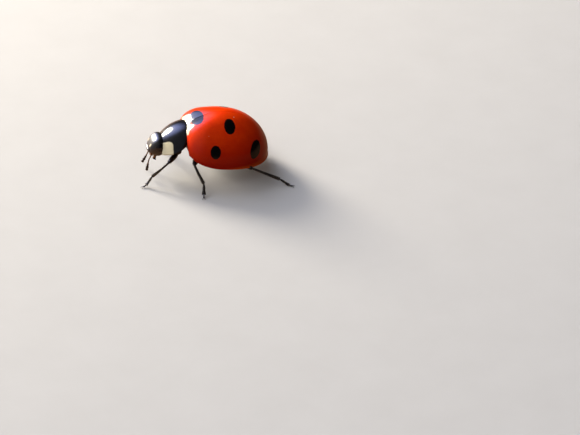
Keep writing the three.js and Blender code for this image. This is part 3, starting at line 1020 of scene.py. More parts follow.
def limb_material(name, colours, roughness=0.34, coat=0.6):
    material, tree, shader, position = new_material(
        name, Roughness=roughness, Coat_Weight=coat, Coat_Roughness=0.16, IOR=1.52)
    colour = clouded(tree, position, colours, clouds_per_mm=4.0)
    dusted(tree, shader, position, colour, specks_per_mm=5.0, kept=0.06, cover=0.6)
    pits = pitted(tree, position, pits_per_mm=17.0, pit_size=0.3, waviness=1.0)
    add_bump(tree, shader, pits["Height"], strength=0.5, depth_mm=PIT_DEPTH)
    return material


leg_horn = limb_material("leg horn", BLACK_HORN)
amber_horn = limb_material("amber horn", AMBER_HORN, roughness=0.3, coat=0.8)
print("limb materials:", leg_horn.name, amber_horn.name)

# %% [markdown]
# ### The parts of the mouth
#
# The lip is a short flat loft with a notch in its front edge. Each jaw narrows to a point that curves
# inwards, and each palp is three lofts that overlap a little, the last of them the axe head. The right
# side mirrors the left.

# %% Lip, jaws and palps
LIP = {"centre": (0.66, 0, 0.06), "length": 0.34, "behind": 0.6, "ahead": 0.42, "half_width": 0.27,
       "deep": (0.09, 0.05), "root_rise": 0.03, "middle_rise": 0.02, "tip_drop": 0.02, "cap": 0.4,
       "notch": 0.05}
JAW = {"root": (0.5, 0.3, -0.14), "bend": (0.74, 0.28, -0.2), "tip": (0.88, 0.1, -0.22), "half_width": 0.13,
       "half_depth": 0.11, "width_taper": 0.75, "depth_taper": 0.6}
PALP = {"root": (0.48, 0.36, -0.18), "tip": (0.86, 0.34, -0.26)}
# Each of the palp's segments: where it runs as shares of the palp, its half width and depth, and its
# rounded ends.
PALP_FIRST = {"to": 0.25, "thick": (0.045, 0.05), "cap": 0.4, "along": 16}
PALP_SECOND = {"at": (0.2, 0.48, 0.62), "lean": 0.02, "wide": (0.045, 0.062), "deep": (0.045, 0.055),
               "cap": 0.3, "along": 20}
PALP_AXE = {"from": 0.56, "wide": (0.06, 0.14, 1.4), "deep": (0.05, 0.045), "tilt": 0.4, "cap": 0.22,
            "along": 24}


def lip_grid():
    x, y, z = LIP["centre"]
    start = (x - LIP["length"] * LIP["behind"], y, z + LIP["root_rise"])
    end = (x + LIP["length"] * LIP["ahead"], y, z - LIP["tip_drop"])
    return loft([start, (x, y, z + LIP["middle_rise"]), end], between(LIP["half_width"], LIP["half_width"]),
                between(*LIP["deep"]), UP, cap=LIP["cap"], bow=LIP["notch"])


def jaw_grid(side):
    points = [np.array(JAW[key]) * [1, side, 1] for key in ("root", "bend", "tip")]
    return loft(points, tapered(JAW["half_width"], JAW["width_taper"]),
                tapered(JAW["half_depth"], JAW["depth_taper"]), UP)


def palp_grids(side):
    root, tip = [np.array(PALP[key]) * [1, side, 1] for key in ("root", "tip")]
    reach = tip - root
    first = loft([root, root + PALP_FIRST["to"] * reach], between(*PALP_FIRST["thick"]),
                 between(*PALP_FIRST["thick"]), UP, cap=PALP_FIRST["cap"], along=PALP_FIRST["along"])
    start, middle, end = PALP_SECOND["at"]
    lean = root + [0, PALP_SECOND["lean"] * side, 0]
    second = loft([root + start * reach, root + middle * reach, lean + end * reach],
                  between(*PALP_SECOND["wide"]), between(*PALP_SECOND["deep"]), UP, cap=PALP_SECOND["cap"],
                  along=PALP_SECOND["along"])
    axe = loft([root + PALP_AXE["from"] * reach, tip], between(*PALP_AXE["wide"]),
               between(*PALP_AXE["deep"]), (0, side, PALP_AXE["tilt"]), cap=PALP_AXE["cap"],
               along=PALP_AXE["along"])
    return first, second, axe


lip = loft_mesh("upper_lip", SKULL, lip_grid())
add_piece("upper_lip", lip, amber_horn, ["labrum"])

for side_name, side in SIDES.items():
    jaw = loft_mesh(f"jaw_{side_name}", SKULL, jaw_grid(side))
    add_piece(f"jaw_{side_name}", jaw, amber_horn, [f"mandible_{side_name}"])
    palp = loft_mesh(f"palp_segments_{side_name}", SKULL, *palp_grids(side))
    add_piece(f"palp_segments_{side_name}", palp, leg_horn, [f"palp_{side_name}"])

# %% [markdown]
# ## Feelers
#
# Each feeler has eleven segments: a stout base, a bead, a thin chain of six, and a loose club of three. A
# single loft makes them all, because only its thickness changes: it swells and pinches once for each
# segment. Its tip is cut blunt, as the club's is.

# %% Feelers
FEELER_ROOT = (0.36, 0.5, 0.3)
FEELERS = {
    "left": [(0.62, 0.52, 0.16), (1.0, 0.54, 0.1), (1.68, 0.5, -0.2)],
    "right": [(0.62, 0.52, 0.1), (1.08, 0.53, -0.04), (1.8, 0.62, -0.14)],
}
# Where each segment ends, as a share of the feeler's length, and its half width in mm.
SEGMENT_ENDS = [0.13, 0.2, 0.31, 0.38, 0.45, 0.52, 0.585, 0.645, 0.755, 0.87, 1.0]
SEGMENT_WIDTHS = [0.07, 0.054, 0.043, 0.04, 0.04, 0.042, 0.045, 0.05, 0.078, 0.098, 0.09]
# Between two segments the width falls to the least share of itself. The lean moves a swelling towards the
# tip.
PINCH = {"least": 0.55, "swell": 0.45, "lean": 1.4}
FEELER_BROWN = ((0.2, 0.06, 0.013, 1), (0.1, 0.03, 0.009, 1))
CLUB_BROWN = (0.03, 0.014, 0.009, 1)
# Heights above the floor, in mm, between which the stalk's colour turns into the club's.
CLUB_RISE = (0.78, 1.05)


def feeler_width(share):
    starts = np.array([0] + SEGMENT_ENDS[:-1])
    ends = np.array(SEGMENT_ENDS)
    which = np.clip(np.searchsorted(ends, share), 0, len(ends) - 1)
    local = (share - starts[which]) / (ends[which] - starts[which])
    pinch = PINCH["least"] + PINCH["swell"] * np.sin(np.pi * np.clip(local, 0, 1) ** PINCH["lean"]) ** 0.5
    return np.array(SEGMENT_WIDTHS)[which] * pinch


def feeler_material():
    """Chestnut stalk with a sooty club. The club is the part that lies lowest, away from the face."""
    material, tree, shader, position = new_material(
        "feeler horn", Roughness=0.42, Coat_Weight=0.35, Coat_Roughness=0.25)
    height = add_node(tree, "ShaderNodeSeparateXYZ", {}, {0: position}).outputs["Z"]
    clubward = ramp_node(tree, height, *[value * MM for value in CLUB_RISE], 1.0, 0.0)
    colour = mix_colour(tree, clubward, clouded(tree, position, FEELER_BROWN, clouds_per_mm=6.0), CLUB_BROWN)
    to_shader(tree, colour, shader, "Base Color")
    pits = pitted(tree, position, pits_per_mm=22.0, pit_size=0.3, waviness=1.0)
    add_bump(tree, shader, pits["Height"], strength=0.6, depth_mm=0.005)
    return material


def feeler_grid(side_name):
    points = [np.array(point) * [1, SIDES[side_name], 1] for point in [FEELER_ROOT] + FEELERS[side_name]]
    return loft(points, feeler_width, feeler_width, UP, around=20, along=240, cap=0.03)


feeler_horn = feeler_material()
for side_name in SIDES:
    feeler = loft_mesh(f"feeler_{side_name}", SKULL, feeler_grid(side_name))
    add_piece(f"feeler_{side_name}", feeler, feeler_horn, [f"antenna_{side_name}"])

# %% [markdown]
# ## The underside
#
# Under the wing cases the body is a flat-bottomed barrel. Its middle and rear thorax are broad plates
# with a groove down the middle, and the abdomen is five plates that overlap like roof tiles. Each is a
# stack of rings, shaped by the same dome formula as the back, and a sawtooth in the ring's size makes the
# tiles.

# %% Trunk shape
TRUNK_INSET = 0.53
TRUNK_STRETCH = 1.25
BELLY_DEPTH = 0.64
TRUNK_COLUMNS = 96
UNDER_FADE = 0.3
BELLY_GROOVE = {"depth": 0.05, "spread": 0.09}
BELLY_BLACK = ((0.006, 0.0055, 0.006, 1), (0.016, 0.012, 0.01, 1))


def trunk_rings(x_values, depth, swell, groove):
    """Rings of the trunk at each x. depth and swell give the belly's depth and the plate's lift there."""
    rings = []
    angle = np.linspace(0, 2 * np.pi, TRUNK_COLUMNS, endpoint=False)
    for x, belly, lift in zip(x_values, depth, swell):
        reach = x - WIDEST_X
        span = (FRONT_REACH - TRUNK_INSET) * TRUNK_STRETCH if reach > 0 else REAR_REACH - TRUNK_INSET
        away = reach / span
        v = math.acos(np.clip(away, -1, 1)) / math.pi
        ring = back_point(v, angle, inset=TRUNK_INSET - lift, belly=belly, stretch=TRUNK_STRETCH)
        under = smooth_step(0.0, UNDER_FADE, -ring[:, 2])
        ring[:, 2] += under * groove * np.exp(-((ring[:, 1] / BELLY_GROOVE["spread"]) ** 2))
        rings.append(ring)
    middle = [np.repeat(end.mean(0)[None], len(angle), axis=0) for end in (rings[0], rings[-1])]
    return np.array([middle[0], *rings, middle[1]])


def belly_material():
    material, tree, shader, position = new_material(
        "belly shell", Roughness=0.45, Coat_Weight=0.35, Coat_Roughness=0.3)
    pits = pitted(tree, position, pits_per_mm=9.0, pit_size=0.4, waviness=1.0)
    to_shader(tree, ramp_node(tree, pits["Pit Mask"], 0, 1, 0.4, 0.6), shader, "Roughness")
    colour = clouded(tree, position, BELLY_BLACK, clouds_per_mm=2.0, contrast=0.25)
    dusted(tree, shader, position, colour, specks_per_mm=2.5, kept=0.06, cover=0.5)
    add_bump(tree, shader, pits["Height"], strength=0.7, depth_mm=0.01)
    return material


belly_shell = belly_material()
THORAX_PLATES = {"thorax_middle_plate": ("mesothorax", 1.62, 2.6),
                 "thorax_rear_plate": ("metathorax", 0.12, 1.58)}
PLATE = {"rings": 40, "proud": 0.02, "edge_drop": 0.05, "edge_spread": 0.04}
for name, (node, rear, front) in THORAX_PLATES.items():
    x_values = np.linspace(rear, front, PLATE["rings"])
    edge = np.minimum(x_values - rear, front - x_values)
    lift = PLATE["proud"] - PLATE["edge_drop"] * np.exp(-edge / PLATE["edge_spread"])
    rings = trunk_rings(x_values, np.full(PLATE["rings"], BELLY_DEPTH), lift, BELLY_GROOVE["depth"])
    add_piece(name, mesh_from_grid(name, placed(rings, BODY), True), belly_shell, [node])

# %% [markdown]
# ### The abdomen
#
# Each of the five plates swells towards its rear edge, then drops to let the next one start from beneath
# it. Each is also a little less deep than the one before.

# %% Abdomen
ABDOMEN = {"front": 0.07, "tail_start": -1.9, "tail": (-1.905, -2.13), "plates": 5, "plate_length": 0.5,
           "tuck_in": 0.09, "step": 0.035, "swell_end": 0.85, "drop_start": 0.93}
ABDOMEN_RINGS = 150
TAIL_RINGS = 20


def abdomen_grid():
    x_values = np.concatenate([np.linspace(ABDOMEN["front"], ABDOMEN["tail_start"], ABDOMEN_RINGS),
                               np.linspace(*ABDOMEN["tail"], TAIL_RINGS)])
    along = (ABDOMEN["front"] - x_values) / ABDOMEN["plate_length"]
    plate = np.minimum(np.floor(along), ABDOMEN["plates"] - 1)
    local = along - plate
    belly = BELLY_DEPTH - plate * ABDOMEN["tuck_in"] + PLATE["proud"]
    swell = smooth_step(0, ABDOMEN["swell_end"], local) - smooth_step(ABDOMEN["drop_start"], 1.0, local)
    lift = ABDOMEN["step"] * (swell - 1) + PLATE["proud"]
    return trunk_rings(x_values, belly, lift, 0.0)


abdomen = mesh_from_grid("abdomen_plates", placed(abdomen_grid(), BODY), True)
add_piece("abdomen_plates", abdomen, belly_shell, ["abdomen"])

# %% [markdown]
# ### The fore thorax
#
# Beneath the shield a smooth block carries the head and the front legs. Little of it shows: a ridge runs
# back between the leg sockets, and the rest lies in the shield's shade.

# %% Fore thorax
FORE_THORAX = {"centre": (1.32, 0, -0.86), "radii": (1.05, 0.84, 0.58)}
# The ridge and the valleys that hold the hips, and the heights between which they set in.
FORE_RIDGE = {"height": 0.06, "spread": 0.16, "none": -1.0, "full": -1.4}
FORE_VALLEY = {"share": 0.7, "at": 0.45, "spread": 0.2}


def fore_thorax_grid():
    grid = ellipsoid_grid(FORE_THORAX["centre"], FORE_THORAX["radii"], around=96, along=64)
    under = smooth_step(FORE_RIDGE["none"], FORE_RIDGE["full"], grid[..., 2])
    ridge = np.exp(-((grid[..., 1] / FORE_RIDGE["spread"]) ** 2))
    valley = np.exp(-(((np.abs(grid[..., 1]) - FORE_VALLEY["at"]) / FORE_VALLEY["spread"]) ** 2))
    grid[..., 2] -= FORE_RIDGE["height"] * under * (ridge - FORE_VALLEY["share"] * valley)
    return grid


fore_thorax = mesh_from_grid("fore_thorax", placed(fore_thorax_grid(), COLLAR), True)
add_piece("fore_thorax", fore_thorax, belly_shell, ["prothorax"])

# %% [markdown]
# ## Legs
#
# A beetle's leg is a chain: a rounded hip, a small link, a stout flattened thigh, a thin shin and a foot
# of short segments with two claws. The joints come from the walking stance. Each segment is a loft
# between two joints, with its own thickness along the way, and the thigh is deepest a little before its
# middle.

# %% Leg stance
COXA_SHARE = 0.28
HIPS = {"fore": (2.08, 0.42, 1.62), "mid": (0.95, 0.66, 1.25), "hind": (-1.05, 0.77, 0.88)}
LEGS = {
    "fore_left": {"knee": (3.0, 1.75, 1.62), "ankle": (4.05, 1.6, 0.62), "toe": (4.72, 1.86)},
    "fore_right": {"knee": (2.75, -1.85, 1.55), "ankle": (2.95, -2.55, 0.62), "toe": (3.0, -3.35)},
    "mid_left": {"knee": (1.47, 2.15, 1.56), "ankle": (1.01, 3.03, 0.62), "toe": (1.16, 3.85)},
    "mid_right": {"knee": (0.6, -2.3, 1.45), "ankle": (0.25, -3.15, 0.62), "toe": (0.1, -3.85)},
    "hind_left": {"knee": (-2.2, 2.3, 0.95), "ankle": (-3.86, 2.9, 0.34), "toe": (-4.62, 3.42)},
    "hind_right": {"knee": (-2.0, -2.1, 1.0), "ankle": (-2.95, -2.9, 0.5), "toe": (-3.35, -3.5)},
}
# Half widths and depths in mm, and rounded ends as a share of the segment. An overlap is a share of the
# thigh.
HIP_BULB = {"reach": 0.85, "half_width": 0.21, "half_depth": 0.18, "ends": 0.7, "cap": 0.4}
LINK = {"start": 0.6, "overlap": 0.06, "wide": (0.13, 0.11), "deep": (0.13, 0.12), "cap": 0.35, "along": 20}
THIGH = {"half_depth": 0.2, "half_width": 0.17, "overlap": 0.02, "cap": 0.12}
SHIN = {"knee": 0.075, "ankle": 0.112, "bow": 0.05, "depth_share": 0.85, "power": 1.5, "cap": 0.05}


def spindle(thick, ends=0.62, peak=0.42):
    """A thickness that swells to thick at its peak and narrows to a share of that at both ends."""
    def profile(share):
        warped = share ** (math.log(0.5) / math.log(peak))
        return thick * (ends + (1 - ends) * np.sin(np.pi * warped))
    return profile


def leg_points(name):
    pair, side_name = name.split("_")
    hip = np.array(HIPS[pair]) * [1, SIDES[side_name], 1]
    knee, ankle = np.array(LEGS[name]["knee"]), np.array(LEGS[name]["ankle"])
    toe = np.array([*LEGS[name]["toe"], 0.0])
    link = hip + (knee - hip) * COXA_SHARE
    return hip, link, knee, ankle, toe


for name in LEGS:
    hip, link, knee, ankle, toe = leg_points(name)
    print(name, "thigh:", round(float(np.linalg.norm(knee - link)), 2), "mm, shin:",
          round(float(np.linalg.norm(ankle - knee)), 2), "mm")

# %% [markdown]
# ### Feet
#
# A ladybird seems to have three segments in its foot: a narrow one, a broad one split into two lobes with
# a brush of hairs below, and a slender last one that carries the claws. The foot leaves the shin at its
# slope, then lies along the ground, so the first two segments follow a curve that flattens as it falls. A
# table holds what differs between them.

# %% Leg segments
# The foot's way down: a share of its reach, and how much of the ankle's height is left there. Then where
# the claws begin, with that height in mm.
FOOT_FALL = ((0.0, 1.0), (0.22, 0.7), (0.45, 0.42), (0.62, 0.24), (0.75, 0.15))
FOOT_END = (0.9, 0.07)
FOOT_SAMPLES = 200
FOOT_KNOTS = 5
# Each segment of the foot: shares of the foot's path, half width and depth, rounded ends, rings, and its
# front notch.
FOOT_SEGMENTS = (
    {"path": (0.0, 0.36), "wide": (0.06, 0.105, 1.3), "deep": (0.058, 0.07),
     "cap": 0.12, "along": 24, "bow": 0.04},
    {"path": (0.33, 0.66), "wide": (0.06, 0.135, 0.8), "deep": (0.055, 0.06),
     "cap": 0.14, "along": 28, "bow": 0.09},
    {"path": (0.56, 1.0), "wide": (0.038, 0.055, 2.0), "deep": (0.038, 0.05),
     "cap": 0.08, "along": 24, "bow": 0.0},
)
CLAW = {"length": 0.17, "spread": 0.09, "thickness": 0.022, "tip_share": 0.25, "arch_at": 0.62,
        "arch_spread": 0.7, "arch_rise": 0.012, "tip_rise": 0.005, "root_back": 0.03}


def foot_path(ankle, toe):
    """Points of the foot from the ankle to where the claws begin."""
    reach = toe - ankle
    flat = np.array([reach[0], reach[1], 0])
    fall = ankle[2]
    steps = [(share, fall * left) for share, left in FOOT_FALL] + [FOOT_END]
    return [ankle + flat * share + [0, 0, height - fall] for share, height in steps]


def claws(start, ahead, side):
    """Two hooks that part, arch and come down on the floor."""
    thickness = between(CLAW["thickness"], CLAW["thickness"] * CLAW["tip_share"])
    hooks = []
    for sign in (-1, 1):
        out = side * sign * CLAW["spread"]
        tip = start + ahead * CLAW["length"] + out
        tip[2] = CLAW["tip_rise"]
        middle = start + ahead * CLAW["length"] * CLAW["arch_at"] + out * CLAW["arch_spread"]
        middle[2] = start[2] + CLAW["arch_rise"]
        hooks.append(loft([start, middle, tip], thickness, thickness, UP, around=12, along=16, cap=0.1))
    return hooks


def foot_lofts(ankle, toe):
    path, _ = smooth_path(foot_path(ankle, toe), FOOT_SAMPLES)
    lofts = []
    for part in FOOT_SEGMENTS:
        shares = np.linspace(*part["path"], FOOT_KNOTS)
        points = [path[int(round(share * (FOOT_SAMPLES - 1)))] for share in shares]
        lofts.append(loft(points, between(*part["wide"]), between(*part["deep"]), UP, cap=part["cap"],
                          along=part["along"], bow=part["bow"]))
    ahead = toe - ankle
    ahead[2] = 0
    ahead /= np.linalg.norm(ahead)
    side = np.array([-ahead[1], ahead[0], 0])
    return lofts + claws(path[-1] - ahead * CLAW["root_back"], ahead, side)


def leg_segments(name):
    hip, link, knee, ankle, toe = leg_points(name)
    hinge = np.cross(link - knee, ankle - knee)
    hinge /= np.linalg.norm(hinge)
    shin_up = np.cross(ankle - knee, hinge)
    shin_up /= np.linalg.norm(shin_up)
    bulb = loft([hip, hip + (link - hip) * HIP_BULB["reach"]],
                spindle(HIP_BULB["half_width"], HIP_BULB["ends"]),
                spindle(HIP_BULB["half_depth"], HIP_BULB["ends"]), hinge, cap=HIP_BULB["cap"])
    small_link = loft([hip + (link - hip) * LINK["start"], link + (knee - link) * LINK["overlap"]],
                      between(*LINK["wide"]), between(*LINK["deep"]), hinge, cap=LINK["cap"],
                      along=LINK["along"])
    thigh_up = np.cross(knee - link, hinge)
    thigh_start = link + (link - knee) * THIGH["overlap"]
    thigh_end = knee + (knee - link) * THIGH["overlap"]
    thigh = loft([thigh_start, (link + knee) / 2, thigh_end], spindle(THIGH["half_width"]),
                 spindle(THIGH["half_depth"]), thigh_up, cap=THIGH["cap"])
    bend = (knee + ankle) / 2 - shin_up * SHIN["bow"]
    shin = loft([knee, bend, ankle], between(SHIN["knee"], SHIN["ankle"], SHIN["power"]),
                between(SHIN["knee"], SHIN["ankle"] * SHIN["depth_share"], SHIN["power"]), shin_up,
                cap=SHIN["cap"])
    return {"coxa": (bulb, small_link), "femur": (thigh,), "tibia": (shin,),
            "tarsus": foot_lofts(ankle, toe)}


SEGMENT_NAMES = {"coxa": "hip", "femur": "thigh", "tibia": "shin", "tarsus": "foot"}
for leg in LEGS:
    for node, lofts in leg_segments(leg).items():
        name = f"{leg}_{SEGMENT_NAMES[node]}"
        add_piece(name, loft_mesh(name, FLOOR, *lofts), leg_horn, [f"{leg}_{node}"])

# %% [markdown]
# ## Hairs
#
# Up close a ladybird's legs, feelers and mouth bristle with short hairs, and a golden brush lies under
# each foot. Blender's hair systems draw such a coat quickly, but they are curves, and a model that is to
# be kept needs mesh. So each hair is a three-sided spike, rooted on the surface at a random place and
# leaning towards the tip of its limb. A seeded generator draws the places, so every run grows the same
# coat.
#
# Each hair also gets a tiny patch of its own in a texture map, at its root's place on an unwrap of the
# limb, so that a baked copy of the model keeps its colours.

# %% Hair maker
SEED = 7
dice = np.random.default_rng(SEED)
HAIR_SIDES = 3
HAIR_RINGS = 3
HAIR_PATCH = 0.0015
# How far a hair stands out and how far it leans, as shares of its length: its slope at the root, how the
# slope changes on the way, and where the tip ends.
HAIR_RISE = {"start": 0.62, "bend": -0.2, "tip": 0.42}
HAIR_LEAN = {"start": 0.35, "bend": 0.55, "tip": 0.9}
HAIR_SECTION = {"out": 0.6, "along": 0.8}
HAIR_TAPER = 0.6
PATCH_TAPER = 0.5


def hair_mesh(name, roots, outwards, lean, length, thickness, patches):
    """One mesh of bent spikes in mm, one for each root. lean is the direction they fall towards."""
    count = len(roots)
    outwards = outwards / np.linalg.norm(outwards, axis=1, keepdims=True)
    lean = lean / np.linalg.norm(lean, axis=1, keepdims=True)
    side = np.cross(outwards, lean)
    side /= np.maximum(np.linalg.norm(side, axis=1, keepdims=True), 1e-9)
    points, maps = [], []
    for ring in range(HAIR_RINGS):
        share = ring / HAIR_RINGS
        rise = HAIR_RISE["start"] * share + HAIR_RISE["bend"] * share**2
        fall = HAIR_LEAN["start"] * share + HAIR_LEAN["bend"] * share**2
        centre = roots + outwards * (length * rise)[:, None] + lean * (length * fall)[:, None]
        for corner in range(HAIR_SIDES):
            turn = 2 * math.pi * corner / HAIR_SIDES
            flat = outwards * HAIR_SECTION["out"] - lean * HAIR_SECTION["along"]
            spoke = side * math.cos(turn) + flat * math.sin(turn)
            points.append(centre + spoke * (thickness * (1 - HAIR_TAPER * share))[:, None])
            spot = HAIR_PATCH * np.array([math.cos(turn), math.sin(turn)])
            maps.append(patches + spot * (1 - PATCH_TAPER * share))
    tips = roots + outwards * (length * HAIR_RISE["tip"])[:, None]
    points.append(tips + lean * (length * HAIR_LEAN["tip"])[:, None])
    maps.append(patches.copy())
    points, maps = np.stack(points, 1), np.stack(maps, 1)
    each = points.shape[1]
    faces = [list(range(HAIR_SIDES))[::-1]]
    for ring in range(HAIR_RINGS - 1):
        for corner in range(HAIR_SIDES):
            low, beside = HAIR_SIDES * ring + corner, HAIR_SIDES * ring + (corner + 1) % HAIR_SIDES
            faces.append([low, beside, beside + HAIR_SIDES])
            faces.append([low, beside + HAIR_SIDES, low + HAIR_SIDES])
    last = HAIR_SIDES * (HAIR_RINGS - 1)
    faces += [[last + corner, last + (corner + 1) % HAIR_SIDES, each - 1] for corner in range(HAIR_SIDES)]
    faces = np.array(faces)
    every = (faces[None] + each * np.arange(count)[:, None, None]).reshape(-1, 3)
    mesh = bpy.data.meshes.new(name)
    mesh.from_pydata((points.reshape(-1, 3) * MM).tolist(), [], every.tolist())
    layer = mesh.uv_layers.new(name="OFBake")
    layer.data.foreach_set("uv", maps.reshape(-1, 2)[every.reshape(-1)].astype(np.float32).reshape(-1))
    return mesh


def hair_material(name, colours):
    material, tree, shader, position = new_material(name, Roughness=0.5)
    to_shader(tree, clouded(tree, position, colours, clouds_per_mm=9.0, contrast=0.15), shader, "Base Color")
    return material


pale_hair = hair_material("pale hair", ((0.34, 0.26, 0.14, 1), (0.62, 0.52, 0.34, 1)))
brush_hair = hair_material("brush hair", ((0.5, 0.32, 0.1, 1), (0.75, 0.55, 0.22, 1)))
print("hair sides:", HAIR_SIDES, "rings:", HAIR_RINGS)

# %% [markdown]
# ### Where hairs grow
#
# A loft already knows its path and its thickness, so a root is simply a random share along it and a
# random turn round it. The same grid that made the surface gives the root's place, and the rows before
# and after it give the lean.

# %% Roots on a loft
UNDERSIDE = (0.32, 0.68)
PATCH_START = 0.02
PATCH_SPAN = 0.96
LEAN_ROWS = 3
HAIR_SCATTER = 0.25
THICKNESS_SPREAD = (0.8, 1.2)
ROOT_DEPTH = 0.012
# Lengths as (shortest, longest) and half thickness, in mm.
COATS = {"leg": ((0.05, 0.11), 0.0032), "brush": ((0.04, 0.075), 0.003), "feeler": ((0.035, 0.07), 0.0026),
         "lip": ((0.05, 0.1), 0.0028)}
# Rows of a coat: segment, which of its lofts, number of hairs, the stretch they grow on, and their column
# of the map.
LEG_COAT = (("femur", 0, 110, 0.08, 0.95, 0), ("tibia", 0, 260, 0.05, 0.98, 1),
            ("tarsus", 0, 70, 0.08, 0.95, 2), ("tarsus", 1, 80, 0.08, 0.95, 2),
            ("tarsus", 2, 26, 0.08, 0.95, 3))
FOOT_BRUSH = (("tarsus", 0, 90, 0.3, 0.98, 2), ("tarsus", 1, 170, 0.2, 0.98, 3))
MAP_COLUMNS_PER_LEG = 4
MAP_MARGIN = 0.005
MAP_FILL = 0.9


def roots_on_loft(grid, count, low, high, column, width, under=False):
    """Random roots on a loft's grid: places, ways out, leans and map patches. under keeps to the side
    that faces down."""
    rows, around = grid.shape[:2]
    row = dice.uniform(low, high, count) * (rows - 2)
    turn = dice.uniform(*UNDERSIDE, count) if under else dice.uniform(0, 1, count)
    col = turn * around
    r0, c0 = row.astype(int), col.astype(int) % around
    r1, c1 = r0 + 1, (c0 + 1) % around
    fr, fc = (row - r0)[:, None], (col - np.floor(col))[:, None]
    here = grid[r0, c0] * (1 - fr) * (1 - fc) + grid[r1, c0] * fr * (1 - fc)
    here = here + grid[r0, c1] * (1 - fr) * fc + grid[r1, c1] * fr * fc
    middle = grid.mean(axis=1)
    centre = middle[r0] * (1 - fr) + middle[r1] * fr
    lean = middle[np.minimum(r0 + LEAN_ROWS, rows - 1)] - middle[np.maximum(r0 - LEAN_ROWS, 0)]
    patches = np.stack([column + width * turn, PATCH_START + PATCH_SPAN * row / rows], -1)
    return here, here - centre, lean, patches


def grow_hairs(name, sources, length, thickness, material, slot):
    """A coat piece from several sets of roots. length is a (low, high) range in mm."""
    roots, outwards, lean, patches = [np.concatenate(part) for part in zip(*sources)]
    count = len(roots)
    jitter = dice.normal(0, HAIR_SCATTER, (count, 3)) * np.linalg.norm(outwards, axis=1, keepdims=True)
    lengths = dice.uniform(*length, count)
    widths = thickness * dice.uniform(*THICKNESS_SPREAD, count)
    outwards = outwards + jitter
    roots = roots - outwards / np.linalg.norm(outwards, axis=1, keepdims=True) * ROOT_DEPTH
    mesh = hair_mesh(name, roots, outwards, lean, lengths, widths, patches)
    return add_piece(name, mesh, material)


def leg_roots(parts, rows, column, width, under=False):
    return [roots_on_loft(parts[segment][index], count, low, high, column + place * width, width, under)
            for segment, index, count, low, high, place in rows]


for i, leg in enumerate(LEGS):
    parts = leg_segments(leg)
    column, width = i / len(LEGS) + MAP_MARGIN, MAP_FILL / len(LEGS) / MAP_COLUMNS_PER_LEG
    coat = leg_roots(parts, LEG_COAT, column, width)
    grow_hairs(f"{leg}_hairs", coat, *COATS["leg"], pale_hair, "black_leg")
    brush = leg_roots(parts, FOOT_BRUSH, column, width, under=True)
    grow_hairs(f"{leg}_brush", brush, *COATS["brush"], brush_hair, "black_leg")

# %% [markdown]
# ### Hairs of the head
#
# The feelers and the lip were laid out in the skull's frame, while hairs are made in the floor's. Their
# grids are moved over first, and the same two functions then grow hairs on them.

# %% Hairs of the feelers and the mouth
def to_floor_frame(grid):
    return placed(grid, SKULL) / MM


feeler_coats = []
for i, side_name in enumerate(SIDES):
    grid = to_floor_frame(feeler_grid(side_name))
    feeler_coats.append(roots_on_loft(grid, 240, low=0.02, high=0.99, column=0.1 + 0.4 * i, width=0.3))
grow_hairs("feeler_hairs", feeler_coats, *COATS["feeler"], pale_hair, "brown_feeler")
lip_roots = roots_on_loft(to_floor_frame(lip_grid()), 60, low=0.6, high=0.98, column=0.1, width=0.4)
grow_hairs("lip_hairs", [lip_roots], *COATS["lip"], pale_hair, "black_shell")

# %% [markdown]
# ## Floor, camera and light
#
# The insect stands on a plain pale sheet. The sheet is pale to the camera only. What it throws back on
# the insect is darker and warmer, as timber would throw it. The Light Path node tells the two apart, and
# stays in the material.

# %% Floor
FLOOR_HALF = 1.5
SHEET_PALE = ((0.56, 0.54, 0.51, 1), (0.53, 0.51, 0.48, 1))
SHEET_BOUNCE = (0.23, 0.11, 0.045, 1)


def sheet_material():
    material, tree, shader, position = new_material("pale sheet", Roughness=0.75)
    colour = clouded(tree, position, SHEET_PALE, clouds_per_mm=0.3, contrast=0.3)
    seen = tree.nodes.new("ShaderNodeLightPath").outputs["Is Camera Ray"]
    to_shader(tree, mix_colour(tree, seen, SHEET_BOUNCE, colour), shader, "Base Color")
    return material


corners = [(-FLOOR_HALF, -FLOOR_HALF, 0), (FLOOR_HALF, -FLOOR_HALF, 0), (FLOOR_HALF, FLOOR_HALF, 0),
           (-FLOOR_HALF, FLOOR_HALF, 0)]
sheet = bpy.data.meshes.new("sheet")
sheet.from_pydata(corners, [], [(0, 1, 2, 3)])
floor = bpy.data.objects.new("floor", sheet)
bpy.context.collection.objects.link(floor)
sheet.materials.append(sheet_material())
print("floor side, m:", 2 * FLOOR_HALF)

# %% [markdown]
# ### Camera
#
# The insect is seen from its left, a little from the front and above, through a long lens from far off
# for its size, so that its near and far sides keep their true proportions. The swing and the nod then set
# it off the middle of the frame.

# %% Camera
CAMERA_DISTANCE = 200
CAMERA_DIRECTION = Vector((0.1519, 0.8382, 0.524))
CAMERA_AIM = Vector((BODY_X, 0, RIM_HEIGHT))
CAMERA_SWING = -1.156
CAMERA_NOD = -1.254
SENSOR = 36.0
VIEW_WIDTH = 36.546
# The nearest and the farthest that the camera sees, in metres.
NEAREST, FARTHEST = 0.002, 20

